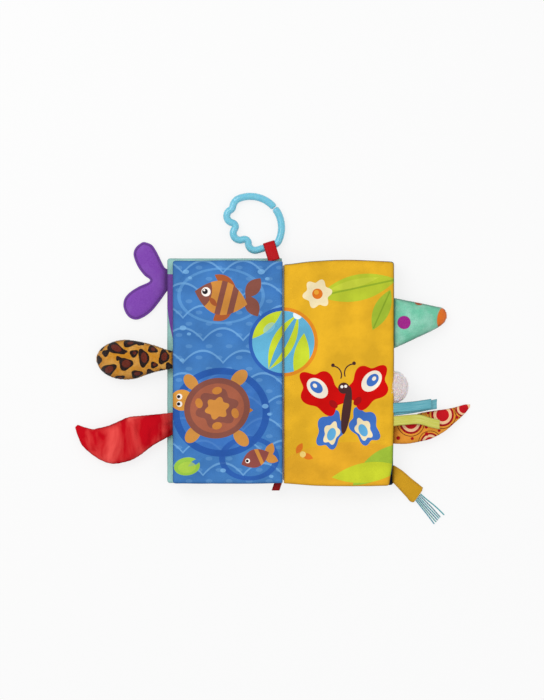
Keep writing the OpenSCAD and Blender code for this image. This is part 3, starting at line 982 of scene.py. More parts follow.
@dataclass
class Pad:
    """A padded page or cover: two cloths sewn together round their edge, with filling between."""

    name: str
    body: str
    left: float
    right: float
    foot: float
    head: float
    level: float
    thick: float
    finish: bpy.types.Material
    slot: str
    seed: float = 1.0
    corner: float = 3.2
    step: float = 3.2
    filling: Filling | None = None
    tuck: Callable[[float, float], tuple[float, float]] | None = None
    creases: tuple[tuple[float, float, float, float, float, float], ...] = ()
    nodes: tuple[str, ...] = ()

    def _marks(self, low: float, high: float) -> list[float]:
        """The grid lines between two edges, close together where the cloth rolls over an edge."""
        rim = [0.0, 0.35, 1.0, 2.0, 3.4, 5.4]
        inner = int((high - low - 2 * rim[-1]) / self.step)
        middle = [low + rim[-1] + (high - low - 2 * rim[-1]) * i / inner for i in range(1, inner)]
        return [low + r for r in rim] + middle + [high - r for r in reversed(rim)]

    def _rounded(self, x: float, y: float) -> tuple[float, float]:
        """Moves a grid point so that the pad's corners are round."""
        r = self.corner if abs(x) > EDGE_X / 2 else self.corner * 0.3
        inner_x = min(max(x, self.left + r), self.right - r)
        inner_y = min(max(y, self.foot + r), self.head - r)
        u, v = (x - inner_x) / r, (y - inner_y) / r
        return inner_x + r * u * math.sqrt(1 - v * v / 2), inner_y + r * v * math.sqrt(1 - u * u / 2)

    def build(self) -> bpy.types.Object:
        """Makes the pad, swells it and hands it over."""
        xs, ys = self._marks(self.left, self.right), self._marks(self.foot, self.head)
        last_x, last_y = len(xs) - 1, len(ys) - 1
        points: list[Point] = []
        seam: list[float] = []
        places: dict[tuple[int, int, int], int] = {}
        roll = self.thick / 2
        for side in (1, -1):
            for i, x in enumerate(xs):
                for j, y in enumerate(ys):
                    rim = i in (0, last_x) or j in (0, last_y)
                    if rim and side < 0:
                        places[(i, j, -1)] = places[(i, j, 1)]
                        continue
                    gap = min(x - self.left, self.right - x, y - self.foot, self.head - y)
                    rest = min(EDGE_X - abs(x), y - self.foot, self.head - y)
                    sewn = (abs(x) - min(abs(self.left), abs(self.right))) * 5.0
                    reach = max(min(sewn, rest), 0.0) if self.tuck else gap
                    px, py = self._rounded(x, y)
                    ripple = math.exp(-gap / 9) * wander(px / 8, py / 8, self.seed + side)
                    swell = wander(px / 34, py / 34, self.seed + side * 3)
                    height = roll * math.sqrt(1 - (1 - min(reach / (roll * 1.3), 1)) ** 2)
                    height *= 0.95 + 0.05 * swell
                    height -= min(gap / roll, 1) * self._crease(px, py)
                    height = min(height + 0.35 * min(gap / roll, 1) * ripple, roll)
                    outward = 0.35 * math.exp(-gap / 3) * wander(px / 14, py / 14, self.seed + 9)
                    middle_x, middle_y = (self.left + self.right) / 2, (self.foot + self.head) / 2
                    px -= outward * (px - middle_x) / (self.right - self.left)
                    py -= outward * (py - middle_y) / (self.head - self.foot)
                    if self.tuck:
                        px, py = self.tuck(px, py)
                    places[(i, j, side)] = len(points)
                    points.append((px, py, self.level + side * height))
                    # nearness to the sewn edge, painted as shade in the material
                    seam.append(math.exp(-gap / 1.3))
        faces = [[places[(i, j, side)], places[(i + 1, j, side)], places[(i + 1, j + 1, side)],
                  places[(i, j + 1, side)]]
                 for side in (1, -1) for i in range(last_x) for j in range(last_y)]
        pad = Piece.mesh(self.name, points, faces, seam)
        if self.filling:
            self.filling.swell(pad, [k for k, s in enumerate(seam) if s > 0.4])
            self._press(pad)
        Piece.refine(pad)
        Piece.paint(pad, self.finish)
        Piece.hand_over(pad, self.body, self.slot, *self.nodes)
        return pad

    def _crease(self, x: float, y: float) -> float:
        """The depth of the soft creases at a place. Each is two ends, a depth and a width."""
        total = 0.0
        for x0, y0, x1, y1, depth, width in self.creases:
            run = np.array((x1 - x0, y1 - y0))
            share = float(np.clip(np.dot((x - x0, y - y0), run) / np.dot(run, run), 0, 1))
            far = math.hypot(x - x0 - share * run[0], y - y0 - share * run[1])
            total += depth * math.exp(-(far / width) ** 2) * (1 - abs(2 * share - 1) ** 4)
        return total

    def _press(self, pad: bpy.types.Object) -> None:
        """Presses the swelled pad gently to its own thickness, as the pads above and below it do."""
        half = self.thick / 2
        for vertex in pad.data.vertices:
            rise = (vertex.co.z / MM - self.level) / half
            if abs(rise) > 0.75:
                rise = math.copysign(0.75 + 0.3 * math.tanh((abs(rise) - 0.75) / 0.3), rise)
            vertex.co.z = (self.level + rise * half) * MM


@dataclass
class Pages:
    """The padded pages and the cover of one half, sewn together at the gutter."""

    side: int
    print_marks: tuple[Mark, ...]

    @property
    def body(self) -> str:
        """The half that the pages ride on."""
        return "front_half" if self.side < 0 else "back_half"

    def _tuck(self, pull: float = 3.4) -> Callable[[float, float], tuple[float, float]]:
        """The way a leaf's outline leaves the rectangle: bowed at head and foot, pulled in at its foot.

        Args:
            pull: how far the fore-edge is pulled in at the right half's foot.

        Returns:
            A function that moves a place on the leaf.
        """
        drop = RIGHT_DROP if self.side > 0 else 0.0
        head = ((-3.3,), (-0.2,), (1.3,), (0.9,), (-0.5,)) if self.side > 0 else (
            (-0.9,), (0.1,), (0.1,), (-0.2,), (-0.4,))
        foot = ((1.6,), (-0.5,), (-1.3,), (-1.3,), (-0.9,)) if self.side > 0 else (
            (0.7,), (0.1,), (0.0,), (0.1,), (0.3,))

        def move(x: float, y: float) -> tuple[float, float]:
            """Moves one place."""
            reach = min(abs(x) / EDGE_X, 1.0)
            local = y + drop
            edge = spline(head if local > 0 else foot, reach)[0]
            y += smooth(abs(local) / HALF_H) * edge
            if self.side > 0:
                corner, slope = smooth((-local - 84) / 28), smooth((-local - 40) / 50)
                x -= (pull * corner + slope) * reach
            return x, y

        return move

    def _creases(self) -> tuple[tuple[float, float, float, float, float, float], ...]:
        """The soft creases of the half's top page."""
        if self.side < 0:
            return ((-106, -20, -84, -34, 0.5, 3.0), (-104, 60, -78, 52, 0.45, 3.2),
                    (-4, -58, -26, -70, 0.5, 2.6), (-3, 86, -22, 92, 0.45, 2.6),
                    (-70, -108, -58, -88, 0.4, 2.8), (-48, 108, -40, 90, 0.35, 2.8))
        return ((72, -108, 92, -86, 0.9, 3.0), (88, -110, 104, -84, 0.8, 2.6),
                (100, -60, 78, -76, 0.5, 3.2), (3, -70, 22, -84, 0.5, 2.6), (3, 40, 18, 52, 0.45, 2.6),
                (106, 30, 88, 20, 0.45, 3.0), (40, 109, 48, 92, 0.4, 2.8))

    def build(self) -> None:
        """Makes the cover and the pages from the table up."""
        left_side = self.side < 0
        drop = 0.0 if left_side else RIGHT_DROP
        near = 0.5
        span = (-EDGE_X, -near) if left_side else (near, EDGE_X)
        under = (("#e9a03c", "#f7d27a"), ("#7fc4b5", "#d8efe6")) if left_side else (
            ("#57a8c9", "#cfe9f2"), ("#c8563c", "#f0b690"))
        node = "left_leaves" if left_side else "right_leaves"
        for k, (colour, light) in enumerate(under):
            cloth = PrintedSatin(f"page_satin_{self.body}_{k}", colour, Ground.DOTS, light).make()
            Pad(f"page_{self.body}_{k}", self.body, *span, -HALF_H - drop, HALF_H - drop, LEVELS[k], LEAF_T,
                cloth, "blue_print" if left_side else "amber_print", seed=k + 3.3 * self.side, step=6.0,
                tuck=self._tuck()).build()
        top_cloth = PrintedSatin(
            f"page_satin_{self.body}_top", "#437cbd" if left_side else "#e5b025",
            Ground.SCALLOPS if left_side else Ground.PLAIN, "#74aadb", self.print_marks).make()
        Pad(f"page_{self.body}_top", self.body, *span, -HALF_H - drop, HALF_H - drop, LEVELS[2], LEAF_T,
            top_cloth, "blue_print" if left_side else "amber_print", seed=7.7 * self.side, step=2.6,
            filling=Filling(cap=1.2), tuck=self._tuck(), creases=self._creases(), nodes=(node,)).build()
        self._cover(left_side, drop)

    def _cover(self, left_side: bool, drop: float) -> None:
        """Makes the half's padded cover, a little larger than its pages."""
        if left_side:
            marks = (Mark(Form.OVAL, "#7f4fae", -70, 84, 47, 100, within=Mark(
                         Form.BAND, "#000000", -70, 39, 60, 59)),
                     Mark(Form.OVAL, "#5fae9f", -50, -40, 34, 26, 30),
                     Mark(Form.OVAL, "#e8b83c", -40, 60, 20, 15),
                     Mark(Form.PETAL, "#4f9b74", -78, -72, 26, 9, 40),
                     Mark(Form.PETAL, "#c7d25a", -30, -84, 22, 8, -25),
                     Mark(Form.RING, "#e7f3ee", -50, -40, 22, 17, 30, detail=7))
            cloth = PrintedSatin("cover_satin_front", "#a3d6d0", Ground.PLAIN, marks=marks).make()
            Pad("cover_front", self.body, -EDGE_X - 6.1, -GUTTER, -HALF_H, HALF_H + 2.5, COVER_T / 2,
                COVER_T, cloth, "teal_cotton", seed=21, step=5.0, nodes=("front_cover",)).build()
        else:
            marks = (Mark(Form.BAND, "#8a5a4c", 78, 112, 28, 4), Mark(Form.OVAL, "#1d2a44", 108, -112, 10, 9),
                     Mark(Form.OVAL, "#4fa3b8", 60, 20, 36, 30),
                     Mark(Form.RING, "#d3ebef", 60, 20, 26, 21, detail=8),
                     Mark(Form.PETAL, "#e2a83a", 40, -60, 26, 10, 35),
                     Mark(Form.PETAL, "#c04a4f", 78, -52, 24, 9, -40))
            cloth = PrintedSatin("cover_satin_back", "#2f6f86", Ground.SCALLOPS, "#5fa0b4", marks).make()
            Pad("cover_back", self.body, GUTTER, EDGE_X + 1, -HALF_H - drop, HALF_H - drop + 0.9,
                COVER_T / 2, COVER_T, cloth, "ocean_cotton", seed=22, step=5.0, tuck=self._tuck(0.0),
                nodes=("back_cover",)).build()


class Strip:
    """A length of ribbon or cloth along a line, with a real thickness and a UV map in millimetres."""

    def __init__(self, name: str, line: Sequence[Point], across: Sequence[Point], width: float, thick: float,
                 curl: float = 0.0, cells: int = 8, ripple: float = 0.0) -> None:
        """Builds the mesh.

        Args:
            name: the piece's name.
            line: the points of its middle line.
            across: the direction across the ribbon at each point.
            width: its width.
            thick: its thickness.
            curl: how far its edges lift, in millimetres.
            cells: how many cells it has across.
            ripple: how far its edges wave.
        """
        self.length = sum(math.dist(a, b) for a, b in zip(line, line[1:]))
        points: list[Point] = []
        seam: list[float] = []
        uvs: list[tuple[float, float]] = []
        rows = len(line)
        travelled = 0.0
        for k, (middle, side) in enumerate(zip(line, across)):
            before, after = np.array(line[max(k - 1, 0)]), np.array(line[min(k + 1, rows - 1)])
            travelled += math.dist(line[k], line[k - 1]) if k else 0.0
            side = np.array(side, float) / np.linalg.norm(side)
            up = np.cross(after - before, side)
            up /= max(np.linalg.norm(up), 1e-9)
            for face in (1, -1):
                for c in range(cells + 1):
                    t = 2 * c / cells - 1
                    lift = curl * t * t + ripple * t * math.sin(travelled * 0.42 + t)
                    edge = 0.62 if abs(t) == 1 else 1.0
                    raised = up * (lift + face * edge * thick / 2)
                    points.append(np.array(middle) + side * t * width / 2 + raised)
                    # the ribbon's edges, painted darker as shade in the material
                    seam.append(0.8 * max(abs(t) ** 14, 0.0))
                    uvs.append((travelled, t * width / 2))
        ring = 2 * (cells + 1)

        def at(k: int, face: int, c: int) -> int:
            """The place of a point in the list."""
            return k * ring + face * (cells + 1) + c

        faces = []
        for k in range(rows - 1):
            for c in range(cells):
                for face in (0, 1):
                    faces.append([at(k, face, c), at(k + 1, face, c),
                                  at(k + 1, face, c + 1), at(k, face, c + 1)])
            for c in (0, cells):
                faces.append([at(k, 0, c), at(k + 1, 0, c), at(k + 1, 1, c), at(k, 1, c)])
        for k in (0, rows - 1):
            for c in range(cells):
                faces.append([at(k, 0, c), at(k, 0, c + 1), at(k, 1, c + 1), at(k, 1, c)])
        self.piece = Piece.mesh(name, points, faces, seam)
        layer = self.piece.data.uv_layers.new(name="UVMap")
        for loop in self.piece.data.loops:
            layer.data[loop.index].uv = uvs[loop.vertex_index]


@dataclass
class SpineCloth:
    """The strip of cloth that joins the covers: it stands folded in the gutter while the book is open."""

    half_gap: float = 0.22
    thick: float = 0.36
    crest: float = 22.3

    def build(self, needlework: Needlework) -> None:
        """Makes the folded strip, bends it between the halves and sews it in."""
        line: list[Point] = [(-self.half_gap, 0, 0.4 + (self.crest - 0.4) * i / 12) for i in range(13)]
        line += [(-self.half_gap * math.cos(math.pi * i / 6), 0, self.crest + 0.3 * math.sin(math.pi * i / 6))
                 for i in range(1, 6)]
        line += [(self.half_gap, 0, self.crest - (self.crest - 0.4) * i / 12) for i in range(13)]
        tall = 2 * HALF_H - 9
        strip = Strip("spine_cloth", [(x, y - RIGHT_DROP / 2, z) for x, y, z in line],
                      [(0, 1, 0)] * len(line), tall, self.thick, cells=40)
        Piece.paint(strip.piece, PrintedSatin("spine_cotton", "#2c4d5c", Ground.PLAIN, marks=(
            Mark(Form.BAND, "#5d2a2c", 0, -70, 4, 45),)).make())
        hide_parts("spine_cloth_front", "spine_cloth_back")
        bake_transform(strip.piece)
        thread = Yarn("gutter_thread", "#2a2420", "#3c3226", 0.8).make()
        rows = [[(0.8, y, 21.5) for y in np.linspace(-108, 105, 90)]]
        seam = needlework.sew("gutter_stitches", rows, thread, pitch=4.2, length=3.0, thick=0.26)
        Piece.hand_over(seam, "back_half", "dark_cotton")


@dataclass
class Tail:
    """A stuffed tail of two cloths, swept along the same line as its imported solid."""

    name: str
    node: str
    slot: str
    side: int
    y: float
    z: float
    length: float
    width: float
    thick: float
    form: tuple[tuple[float, float, float, float], ...]
    finish: bpy.types.Material
    turn_from: float = 2.0
    around: int = 28
    along: int = 56
    lumps: float = 0.35
    gather: float = 0.5
    pinch: float = 0.62
    folds: tuple[tuple[float, float, float, float], ...] = ()
    filling: Filling | None = None
    pile: tuple[float, float, float, float] | None = None
    root: float = 1.6

    @property
    def body(self) -> str:
        """The half that the tail is sewn into."""
        return "front_half" if self.side < 0 else "back_half"

    def _middle(self, u: float) -> tuple[np.ndarray, float, float]:
        """One place along the tail, before it is mirrored to its side.

        Args:
            u: the share of the length.

        Returns:
            The middle line's point, half of the width and half of the thickness.
        """
        f = spline(self.form, u)
        half = f[3] * self.thick / 2
        first = self.form[0][3] * self.thick / 2
        height = LIFT + half + (self.z - LIFT - first) * (1 - smooth(f[0] / 0.5))
        return np.array((CLEAR + f[0] * self.length, f[1] * self.length, height)), f[2] * self.width / 2, half

    def edge(self, share: float) -> list[tuple[float, float, float]]:
        """A line on the tail's upper face, beside its edge.

        Args:
            share: how far from the middle line, as a share of half of the width, with its side's sign.

        Returns:
            The line's points, from just outside the page nearly to the tip.
        """
        line = []
        for i in range(4, self.along - 6):
            middle, half_w, half_t = self._middle(i / self.along)
            ahead = self._middle((i + 1) / self.along)[0] - middle
            way = ahead[:2] / np.linalg.norm(ahead[:2])
            blend = smooth(i / self.along / 0.3)
            way = (1 - blend) * np.array((1.0, 0.0)) + blend * way
            way /= np.linalg.norm(way)
            line.append((EDGE_X + middle[0] - way[1] * share * half_w,
                         self.y + middle[1] + way[0] * share * half_w, middle[2] + half_t * 0.66))
        return line

    @staticmethod
    def _rest(piece: bpy.types.Object) -> None:
        """Flattens what would reach under the table."""
        for vertex in piece.data.vertices:
            vertex.co.z = max(vertex.co.z, LIFT * 0.5 * MM)

    def build(self, needlework: Needlework) -> bpy.types.Object:
        """Makes the tail, swells it, plants its pile and hands it over."""
        shares = [i / self.along for i in range(self.along + 1)]
        rows = [self._middle(u) for u in shares]
        start = rows[0]
        rows.insert(0, (start[0] - np.array((self.root, 0, 0)), start[1] * 0.97, start[2] * 0.3))
        points: list[Point] = []
        seam: list[float] = []
        count = len(rows)
        for k, (middle, half_w, half_t) in enumerate(rows):
            before, after = rows[max(k - 1, 0)][0], rows[min(k + 1, count - 1)][0]
            way = (after - before)[:2] / max(np.linalg.norm((after - before)[:2]), 1e-9)
            share = smooth((k / (count - 1) - self.turn_from) / 0.3)
            way = (1 - share) * np.array((1.0, 0.0)) + share * way
            way /= np.linalg.norm(way)
            root_near = math.exp(-max(k - 1, 0) / (self.along * 0.13))
            for m in range(self.around):
                angle = 2 * math.pi * m / self.around
                c, s = math.cos(angle), math.sin(angle)
                across = math.copysign(abs(c) ** 0.9, c)
                up = math.copysign(max(1 - abs(across) ** 2.3, 0.0) ** self.pinch, s)
                place = middle + np.array((-way[1] * across * half_w, way[0] * across * half_w, up * half_t))
                face = np.sign(s)
                crease = self.gather * root_near * math.sin(across * 9 + self.y) * (1 - across * across) * face
                lump = self.lumps * wander(place[0] / 9, place[1] / 9, self.y + face) * (1 - across ** 4)
                fold = 0.0
                for at, side_at, reach, depth in self.folds:
                    near = (k / count - at) ** 2 / reach ** 2 + (across - side_at) ** 2 / 0.5
                    fold -= depth * math.exp(-near * 4)
                place[2] += (face * min(half_t * 0.4, 1.0) * (crease + lump)
                             + min(half_t * 0.3, 1.0) * max(s, 0) * fold)
                pucker = 1 - 0.012 * (1 + math.sin(k * 2.4 + self.y)) * abs(across) ** 8
                place[:2] = middle[:2] + (place[:2] - middle[:2]) * pucker
                place[2] = max(place[2], LIFT * 0.5)
                points.append((self.side * (EDGE_X + place[0]), self.y + place[1], place[2]))
                # the side seams and the root, where the tail runs in under the page, get painted shade in the
                # material
                seam.append(max(abs(across) ** 18, 0.9 * root_near ** 3))
        tail = Piece.mesh(self.name, points, Piece.tube(count, self.around), seam)
        if self.filling:
            self.filling.swell(tail, list(range(3 * self.around)) + [i for i, s in enumerate(seam) if s > 0.97])
            self._rest(tail)
        Piece.refine(tail)
        Piece.paint(tail, self.finish)
        if self.pile:
            fur = needlework.plant(f"{self.name}_pile", tail, self.finish, *self.pile)
            self._rest(fur)
            Piece.hand_over(fur, self.body, self.slot)
        Piece.hand_over(tail, self.body, self.slot, self.node)
        return tail


@dataclass
class WhaleTail:
    """A flat fluke of two felt cloths with a little filling and a stitched rim."""

    length: float = 44.0
    span: float = 78.0
    thick: float = 5.0
    y: float = 92.2
    start: float = EDGE_X + 5.8 + CLEAR
    outline: tuple[tuple[float, float], ...] = (
        (0, -0.14), (0.145, -0.258), (0.355, -0.404), (0.56, -0.486), (0.73, -0.512), (0.89, -0.47),
        (0.986, -0.376), (1, -0.294), (0.955, -0.22), (0.823, -0.144), (0.64, -0.081), (0.393, -0.01),
        (0.523, 0.059), (0.655, 0.155), (0.745, 0.265), (0.77, 0.346), (0.718, 0.419), (0.61, 0.472),
        (0.523, 0.49), (0.355, 0.456), (0.25, 0.376), (0.145, 0.258), (0.066, 0.169), (0, 0.14))

    def _rim(self, samples: int) -> np.ndarray:
        """Evenly spaced points round the outline, in the row frame, seen from above."""
        dense = np.array([spline(self.outline, i / 600) for i in range(601)])
        dense = np.vstack((dense, dense[:1]))
        place = np.column_stack((-(self.start + dense[:, 0] * self.length), self.y + dense[:, 1] * self.span))
        place[dense[:, 0] < 0.005, 0] += 1.6
        run = np.concatenate(([0.0], np.cumsum(np.linalg.norm(np.diff(place, axis=0), axis=1))))
        at = np.linspace(0, run[-1], samples, endpoint=False)
        return np.column_stack((np.interp(at, run, place[:, 0]), np.interp(at, run, place[:, 1])))

    def _inset(self, samples: int, depth: float) -> np.ndarray:
        """The outline moved inwards by a depth."""
        rim = self._rim(samples)
        ahead = np.roll(rim, -2, 0) - np.roll(rim, 2, 0)
        ahead /= np.linalg.norm(ahead, axis=1, keepdims=True)
        return rim + depth * np.column_stack((ahead[:, 1], -ahead[:, 0]))

    def _puff(self, gap: float) -> float:
        """Half of the fluke's thickness at a distance from its rim: a flat seam, then the filling."""
        return float(np.interp(gap, (0, 0.5, 1.2, 2.0, 3.2, 5.2, 8.5), (0, 0.6, 0.75, 0.55, 1.35, 2.0, 2.3)))

    def build(self, needlework: Needlework) -> None:
        """Makes the felt fluke, with its rim sewn."""
        count = 170
        rings = [self._inset(count, depth) for depth in (0, 0.5, 1.2, 2.0, 3.2, 5.2)]
        rim = rings[0]
        low, high = rim.min(0), rim.max(0)
        grid = [(x, y) for x in np.arange(low[0], high[0], 3.0) for y in np.arange(low[1], high[1], 3.0)]
        deep = [g for g in grid if np.hypot(*(rings[-1] - g).T).min() > 1.8]
        places = [Vector(p) for ring in rings for p in ring] + [Vector(g) for g in deep]
        edges = [(i, (i + 1) % count) for i in range(count)]
        flat, _, tri, *_ = delaunay_2d_cdt(places, edges, [], 1, 1e-4)
        points: list[Point] = []
        seam: list[float] = []
        pair: dict[int, int] = {}
        gaps = [float(np.hypot(*(rim - np.array(p)).T).min()) for p in flat]
        for side in (1, -1):
            for i, (x, y) in enumerate(flat):
                if side < 0 and gaps[i] < 0.05:
                    pair[i] = i
                    continue
                lump = 0.25 * min(gaps[i] / 4, 1) * wander(x / 7, y / 7, 4.0 + side)
                middle = LIFT + self.thick / 2 + 0.2 * wander(x / 22, y / 22, 2.0)
                z = middle + side * (self._puff(gaps[i]) + lump if gaps[i] >= 0.05 else 0.0)
                if side < 0:
                    pair[i] = len(points)
                points.append((x, y, min(max(z, LIFT), LIFT + self.thick)))
                near_root = math.exp(-(x + self.start) ** 2 / 14)
                # the rim, the stitched groove 2 mm inside it and the root at the cover get painted shade in the
                # material
                seam.append(max(0.8 * math.exp(-gaps[i] / 0.8), 0.7 * math.exp(-(gaps[i] - 2) ** 2 / 0.5),
                                0.8 * near_root))
        faces = list(tri) + [[pair[i] for i in f] for f in tri]
        fluke = Piece.mesh("whale_fluke", points, faces, seam)
        Piece.refine(fluke)
        Piece.paint(fluke, Felt("brushed_felt", "#753ca2", "#8a55b6").make())
        Piece.hand_over(fluke, "front_half", "purple_felt", "whale_tail")
        thread = Yarn("felt_thread", "#4b2470", "#6a3c92", 0.7).make()
        row = self._inset(count, 2.0)
        rows = [[(x, y, LIFT + self.thick / 2 + side * 0.72) for x, y in row if x < -(self.start + 3)]
                for side in (1, -1)]
        rows.append([(-self.start - 1.3, self.y + t, LIFT + self.thick / 2 + 1.0)
                     for t in np.linspace(-9.5, 9.5, 12)])
        seams = needlework.sew("whale_stitches", rows, thread, pitch=2.6, length=1.8, thick=0.24)
        Piece.hand_over(seams, "front_half", "purple_felt")


@dataclass
class Pompom:
    """A ball of long pile that bulges out of the page edge."""

    out: float = 14.5
    width: float = 33.0
    thick: float = 16.0
    y: float = -15.0

    def build(self, needlework: Needlework) -> None:
        """Makes the ball's core and its fluff."""
        rings, around = 22, 40
        points: list[Point] = []
        for k in range(rings + 1):
            angle = math.radians(-6 + 95 * k / rings)
            reach, wide = math.sin(angle), math.cos(angle)
            for m in range(around):
                turn = 2 * math.pi * m / around
                shag = 1 + 0.05 * wander(3 * math.cos(turn), 3 * math.sin(turn) + k / 3, 6.0)
                points.append((EDGE_X + CLEAR + (self.out - 2.0) * reach * shag,
                               self.y + (self.width / 2 - 2.2) * max(wide, 0.02) * math.cos(turn) * shag,
                               LEVELS[1] + (self.thick / 2 - 1.2) * max(wide, 0.02) * math.sin(turn) * shag))
        ball = Piece.mesh("pompom_core", points, Piece.tube(rings + 1, around))
        wool = Fluff("pompom_wool", "#ffffff", "#f6e2e6").make()
        Piece.paint(ball, wool)
        fluff = needlework.plant("pompom_fluff", ball, wool, 5.0, 2.8, 0.3, 0.5)
        Piece.hand_over(fluff, "back_half", "white_fluff")
        Piece.hand_over(ball, "back_half", "white_fluff", "pompom_tail")


@dataclass
class Ribbons:
    """The satin ribbon ends at the right edge."""

    width: float = 10.0
    thick: float = 0.45

    def build(self) -> None:
        """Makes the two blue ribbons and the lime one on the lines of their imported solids."""
        rows = (
            ("blue_ribbon_upper", "blue_satin", ((0, 0), (0.5, 0.04), (1, 0.11)), 37.3, -35.8, 20.7, 15.9,
             ("#569dab", "#86bfc8")),
            ("blue_ribbon_lower", "blue_satin", ((0, 0), (0.5, 0.07), (1, 0.163)), 43.0, -38.8, 19.1, 11.9,
             ("#5fa3af", "#8cc3ca")),
            ("lime_ribbon", "lime_satin", ((0, 0), (0.3, 0.03), (0.56, 0.04), (0.8, -0.03), (1, -0.08)), 45.5,
             -49.0, 19.9, 14.9, ("#bdbc4e", "#dbd88a")))
        for name, slot, form, length, y, z, z_end, colours in rows:
            line, across = [], []
            for i in range(37):
                u = i / 36
                aside = spline(form, u)
                wave = 0.7 * math.sin(u * 7 + y) * u * (1 - 0.3 * u)
                line.append((EDGE_X + CLEAR - 1.2 + aside[0] * (length + 1.2), y + aside[1] * length,
                             z + (z_end - z) * u * u + wave))
                twist = 0.3 * math.sin(u * 4 + y) * u
                across.append((0.0, math.cos(twist), math.sin(twist)))
            ribbon = Strip(name + "_satin", line, across, self.width, self.thick, curl=0.35, ripple=0.3)
            Piece.refine(ribbon.piece)
            Piece.paint(ribbon.piece, RibbonSatin(f"ribbon_satin_{name}", *colours).make())
            Piece.hand_over(ribbon.piece, "back_half", slot, name)


@dataclass
class ClipRing:
    """The moulded link, its three lobes and snap gap, and the ribbon loop that holds it."""

    ring_r: float = 31.4
    wire_r: float = 3.55
    lobe_r: float = 6.9
    hollow_r: float = 4.0
    corner_r: float = 8.0
    far_r: float = 10.4
    far_at: float = 93.0
    snap_at: float = 22.0
    snap_gap: float = 1.6
    lean: float = 17.0
    loop_x: float = 9.0
    reach: float = 15.2
    loop_w: float = 12.0
    loop_t: float = 0.8

    @property
    def wire_z(self) -> float:
        """The height of the wire's middle under the loop."""
        return self.wire_r + 0.4 + self.loop_t + LIFT

    def _place(self, p: Point) -> np.ndarray:
        """Turns a point of the ring's own frame into the row frame."""
        a = math.radians(self.lean)
        return np.array((
            -self.loop_x - self.reach * math.sin(a) + p[0] * math.cos(a) - p[1] * math.sin(a),
            HALF_H + self.reach * math.cos(a) + p[0] * math.sin(a) + p[1] * math.cos(a),
            self.wire_z + p[2]))

    def _between(self, a: np.ndarray, ra: float, b: np.ndarray, rb: float) -> np.ndarray:
        """The centre of the hollow that touches two circles from outside."""
        d = b - a
        length = float(np.linalg.norm(d))
        p, q = ra + self.hollow_r, rb + self.hollow_r
        x = (length ** 2 + p ** 2 - q ** 2) / (2 * length)
        y = math.sqrt(p * p - x * x)
        return a + (x * d + y * np.array((-d[1], d[0]))) / length

    def _line(self) -> list[np.ndarray]:
        """The wire's middle line in the ring's own frame, from one side of the snap gap to the other."""
        r = self.ring_r
        main = np.array((-0.425 * r, 0.75 * r))
        corner = np.array((main[0] + math.sqrt((r - self.corner_r) ** 2 - (main[1] - self.corner_r) ** 2),
                           self.corner_r))
        far_angle = math.radians(self.far_at)
        far = main + (r - self.far_r) * np.array((math.cos(far_angle), math.sin(far_angle)))
        lobes = [np.array((-0.823 * r, 1.26 * r)), np.array((-0.787 * r, 0.674 * r)),
                 np.array((-0.42 * r, self.lobe_r))]
        hollows = [self._between(lobes[0], self.lobe_r, far, self.far_r),
                   self._between(lobes[1], self.lobe_r, lobes[0], self.lobe_r),
                   self._between(lobes[2], self.lobe_r, lobes[1], self.lobe_r)]
        line: list[np.ndarray] = []

        def arc(centre: np.ndarray, radius: float, start: np.ndarray, end: np.ndarray, forward: bool) -> None:
            """Adds an arc from one direction to another."""
            a, b = math.atan2(start[1], start[0]), math.atan2(end[1], end[0])
            turn = (b - a) % (2 * math.pi) if forward else -((a - b) % (2 * math.pi))
            steps = max(3, int(abs(turn) * radius / 1.1))
            angles = [a + turn * i / steps for i in range(steps)]
            line.extend(centre + radius * np.array((math.cos(angle), math.sin(angle))) for angle in angles)

        gap = math.radians(self.snap_gap / 2)
        snap = math.radians(self.snap_at)
        after = np.array((math.cos(snap + gap), math.sin(snap + gap)))
        before = np.array((math.cos(snap - gap), math.sin(snap - gap)))
        arc(main, r, after, far - main, True)
        arc(far, self.far_r, far - main, hollows[0] - far, True)
        arc(hollows[0], self.hollow_r, far - hollows[0], lobes[0] - hollows[0], False)
        arc(lobes[0], self.lobe_r, hollows[0] - lobes[0], hollows[1] - lobes[0], True)
        arc(hollows[1], self.hollow_r, lobes[0] - hollows[1], lobes[1] - hollows[1], False)
        arc(lobes[1], self.lobe_r, hollows[1] - lobes[1], hollows[2] - lobes[1], True)
        arc(hollows[2], self.hollow_r, lobes[1] - hollows[2], lobes[2] - hollows[2], False)
        arc(lobes[2], self.lobe_r, hollows[2] - lobes[2], np.array((0.0, -1.0)), True)
        straight = corner[0] - lobes[2][0]
        line.extend(np.array((lobes[2][0] + straight * i / 12, 0.0)) for i in range(12))
        arc(corner, self.corner_r, np.array((0.0, -1.0)), corner - main, True)
        arc(main, r, corner - main, before, True)
        line.append(main + r * before)
        return line

    def build(self) -> None:
        """Makes the ring and its loop."""
        flat = self._line()
        drop = (self.wire_z - self.wire_r - LIFT) / (0.75 * self.ring_r + self.ring_r)
        tilt = math.asin(drop)
        around = 28
        points: list[Point] = []
        count = len(flat)
        for k in range(count):
            ahead = flat[min(k + 1, count - 1)] - flat[max(k - 1, 0)]
            ahead /= np.linalg.norm(ahead)
            side = np.array((-ahead[1], ahead[0]))
            end = min(k, count - 1 - k)
            radius = self.wire_r * (0.7, 0.93, 1.0)[min(end, 2)]
            for m in range(around):
                angle = 2 * math.pi * m / around
                ridge = 0.09 if m in (0, around // 2) else 0.0
                out = side * math.cos(angle) * (radius + ridge)
                x, y, z = flat[k][0] + out[0], flat[k][1] + out[1], math.sin(angle) * radius
                points.append(self._place((x, y * math.cos(tilt) + z * math.sin(tilt),
                                           z * math.cos(tilt) - y * math.sin(tilt))))
        ring = Piece.mesh("clip_ring_moulding", points, Piece.tube(count, around))
        Piece.paint(ring, MouldedPlastic("moulded_polypropylene", "#68b9d0").make())
        Piece.hand_over(ring, "ring", "blue_plastic", "clip_ring")
        self._loop()

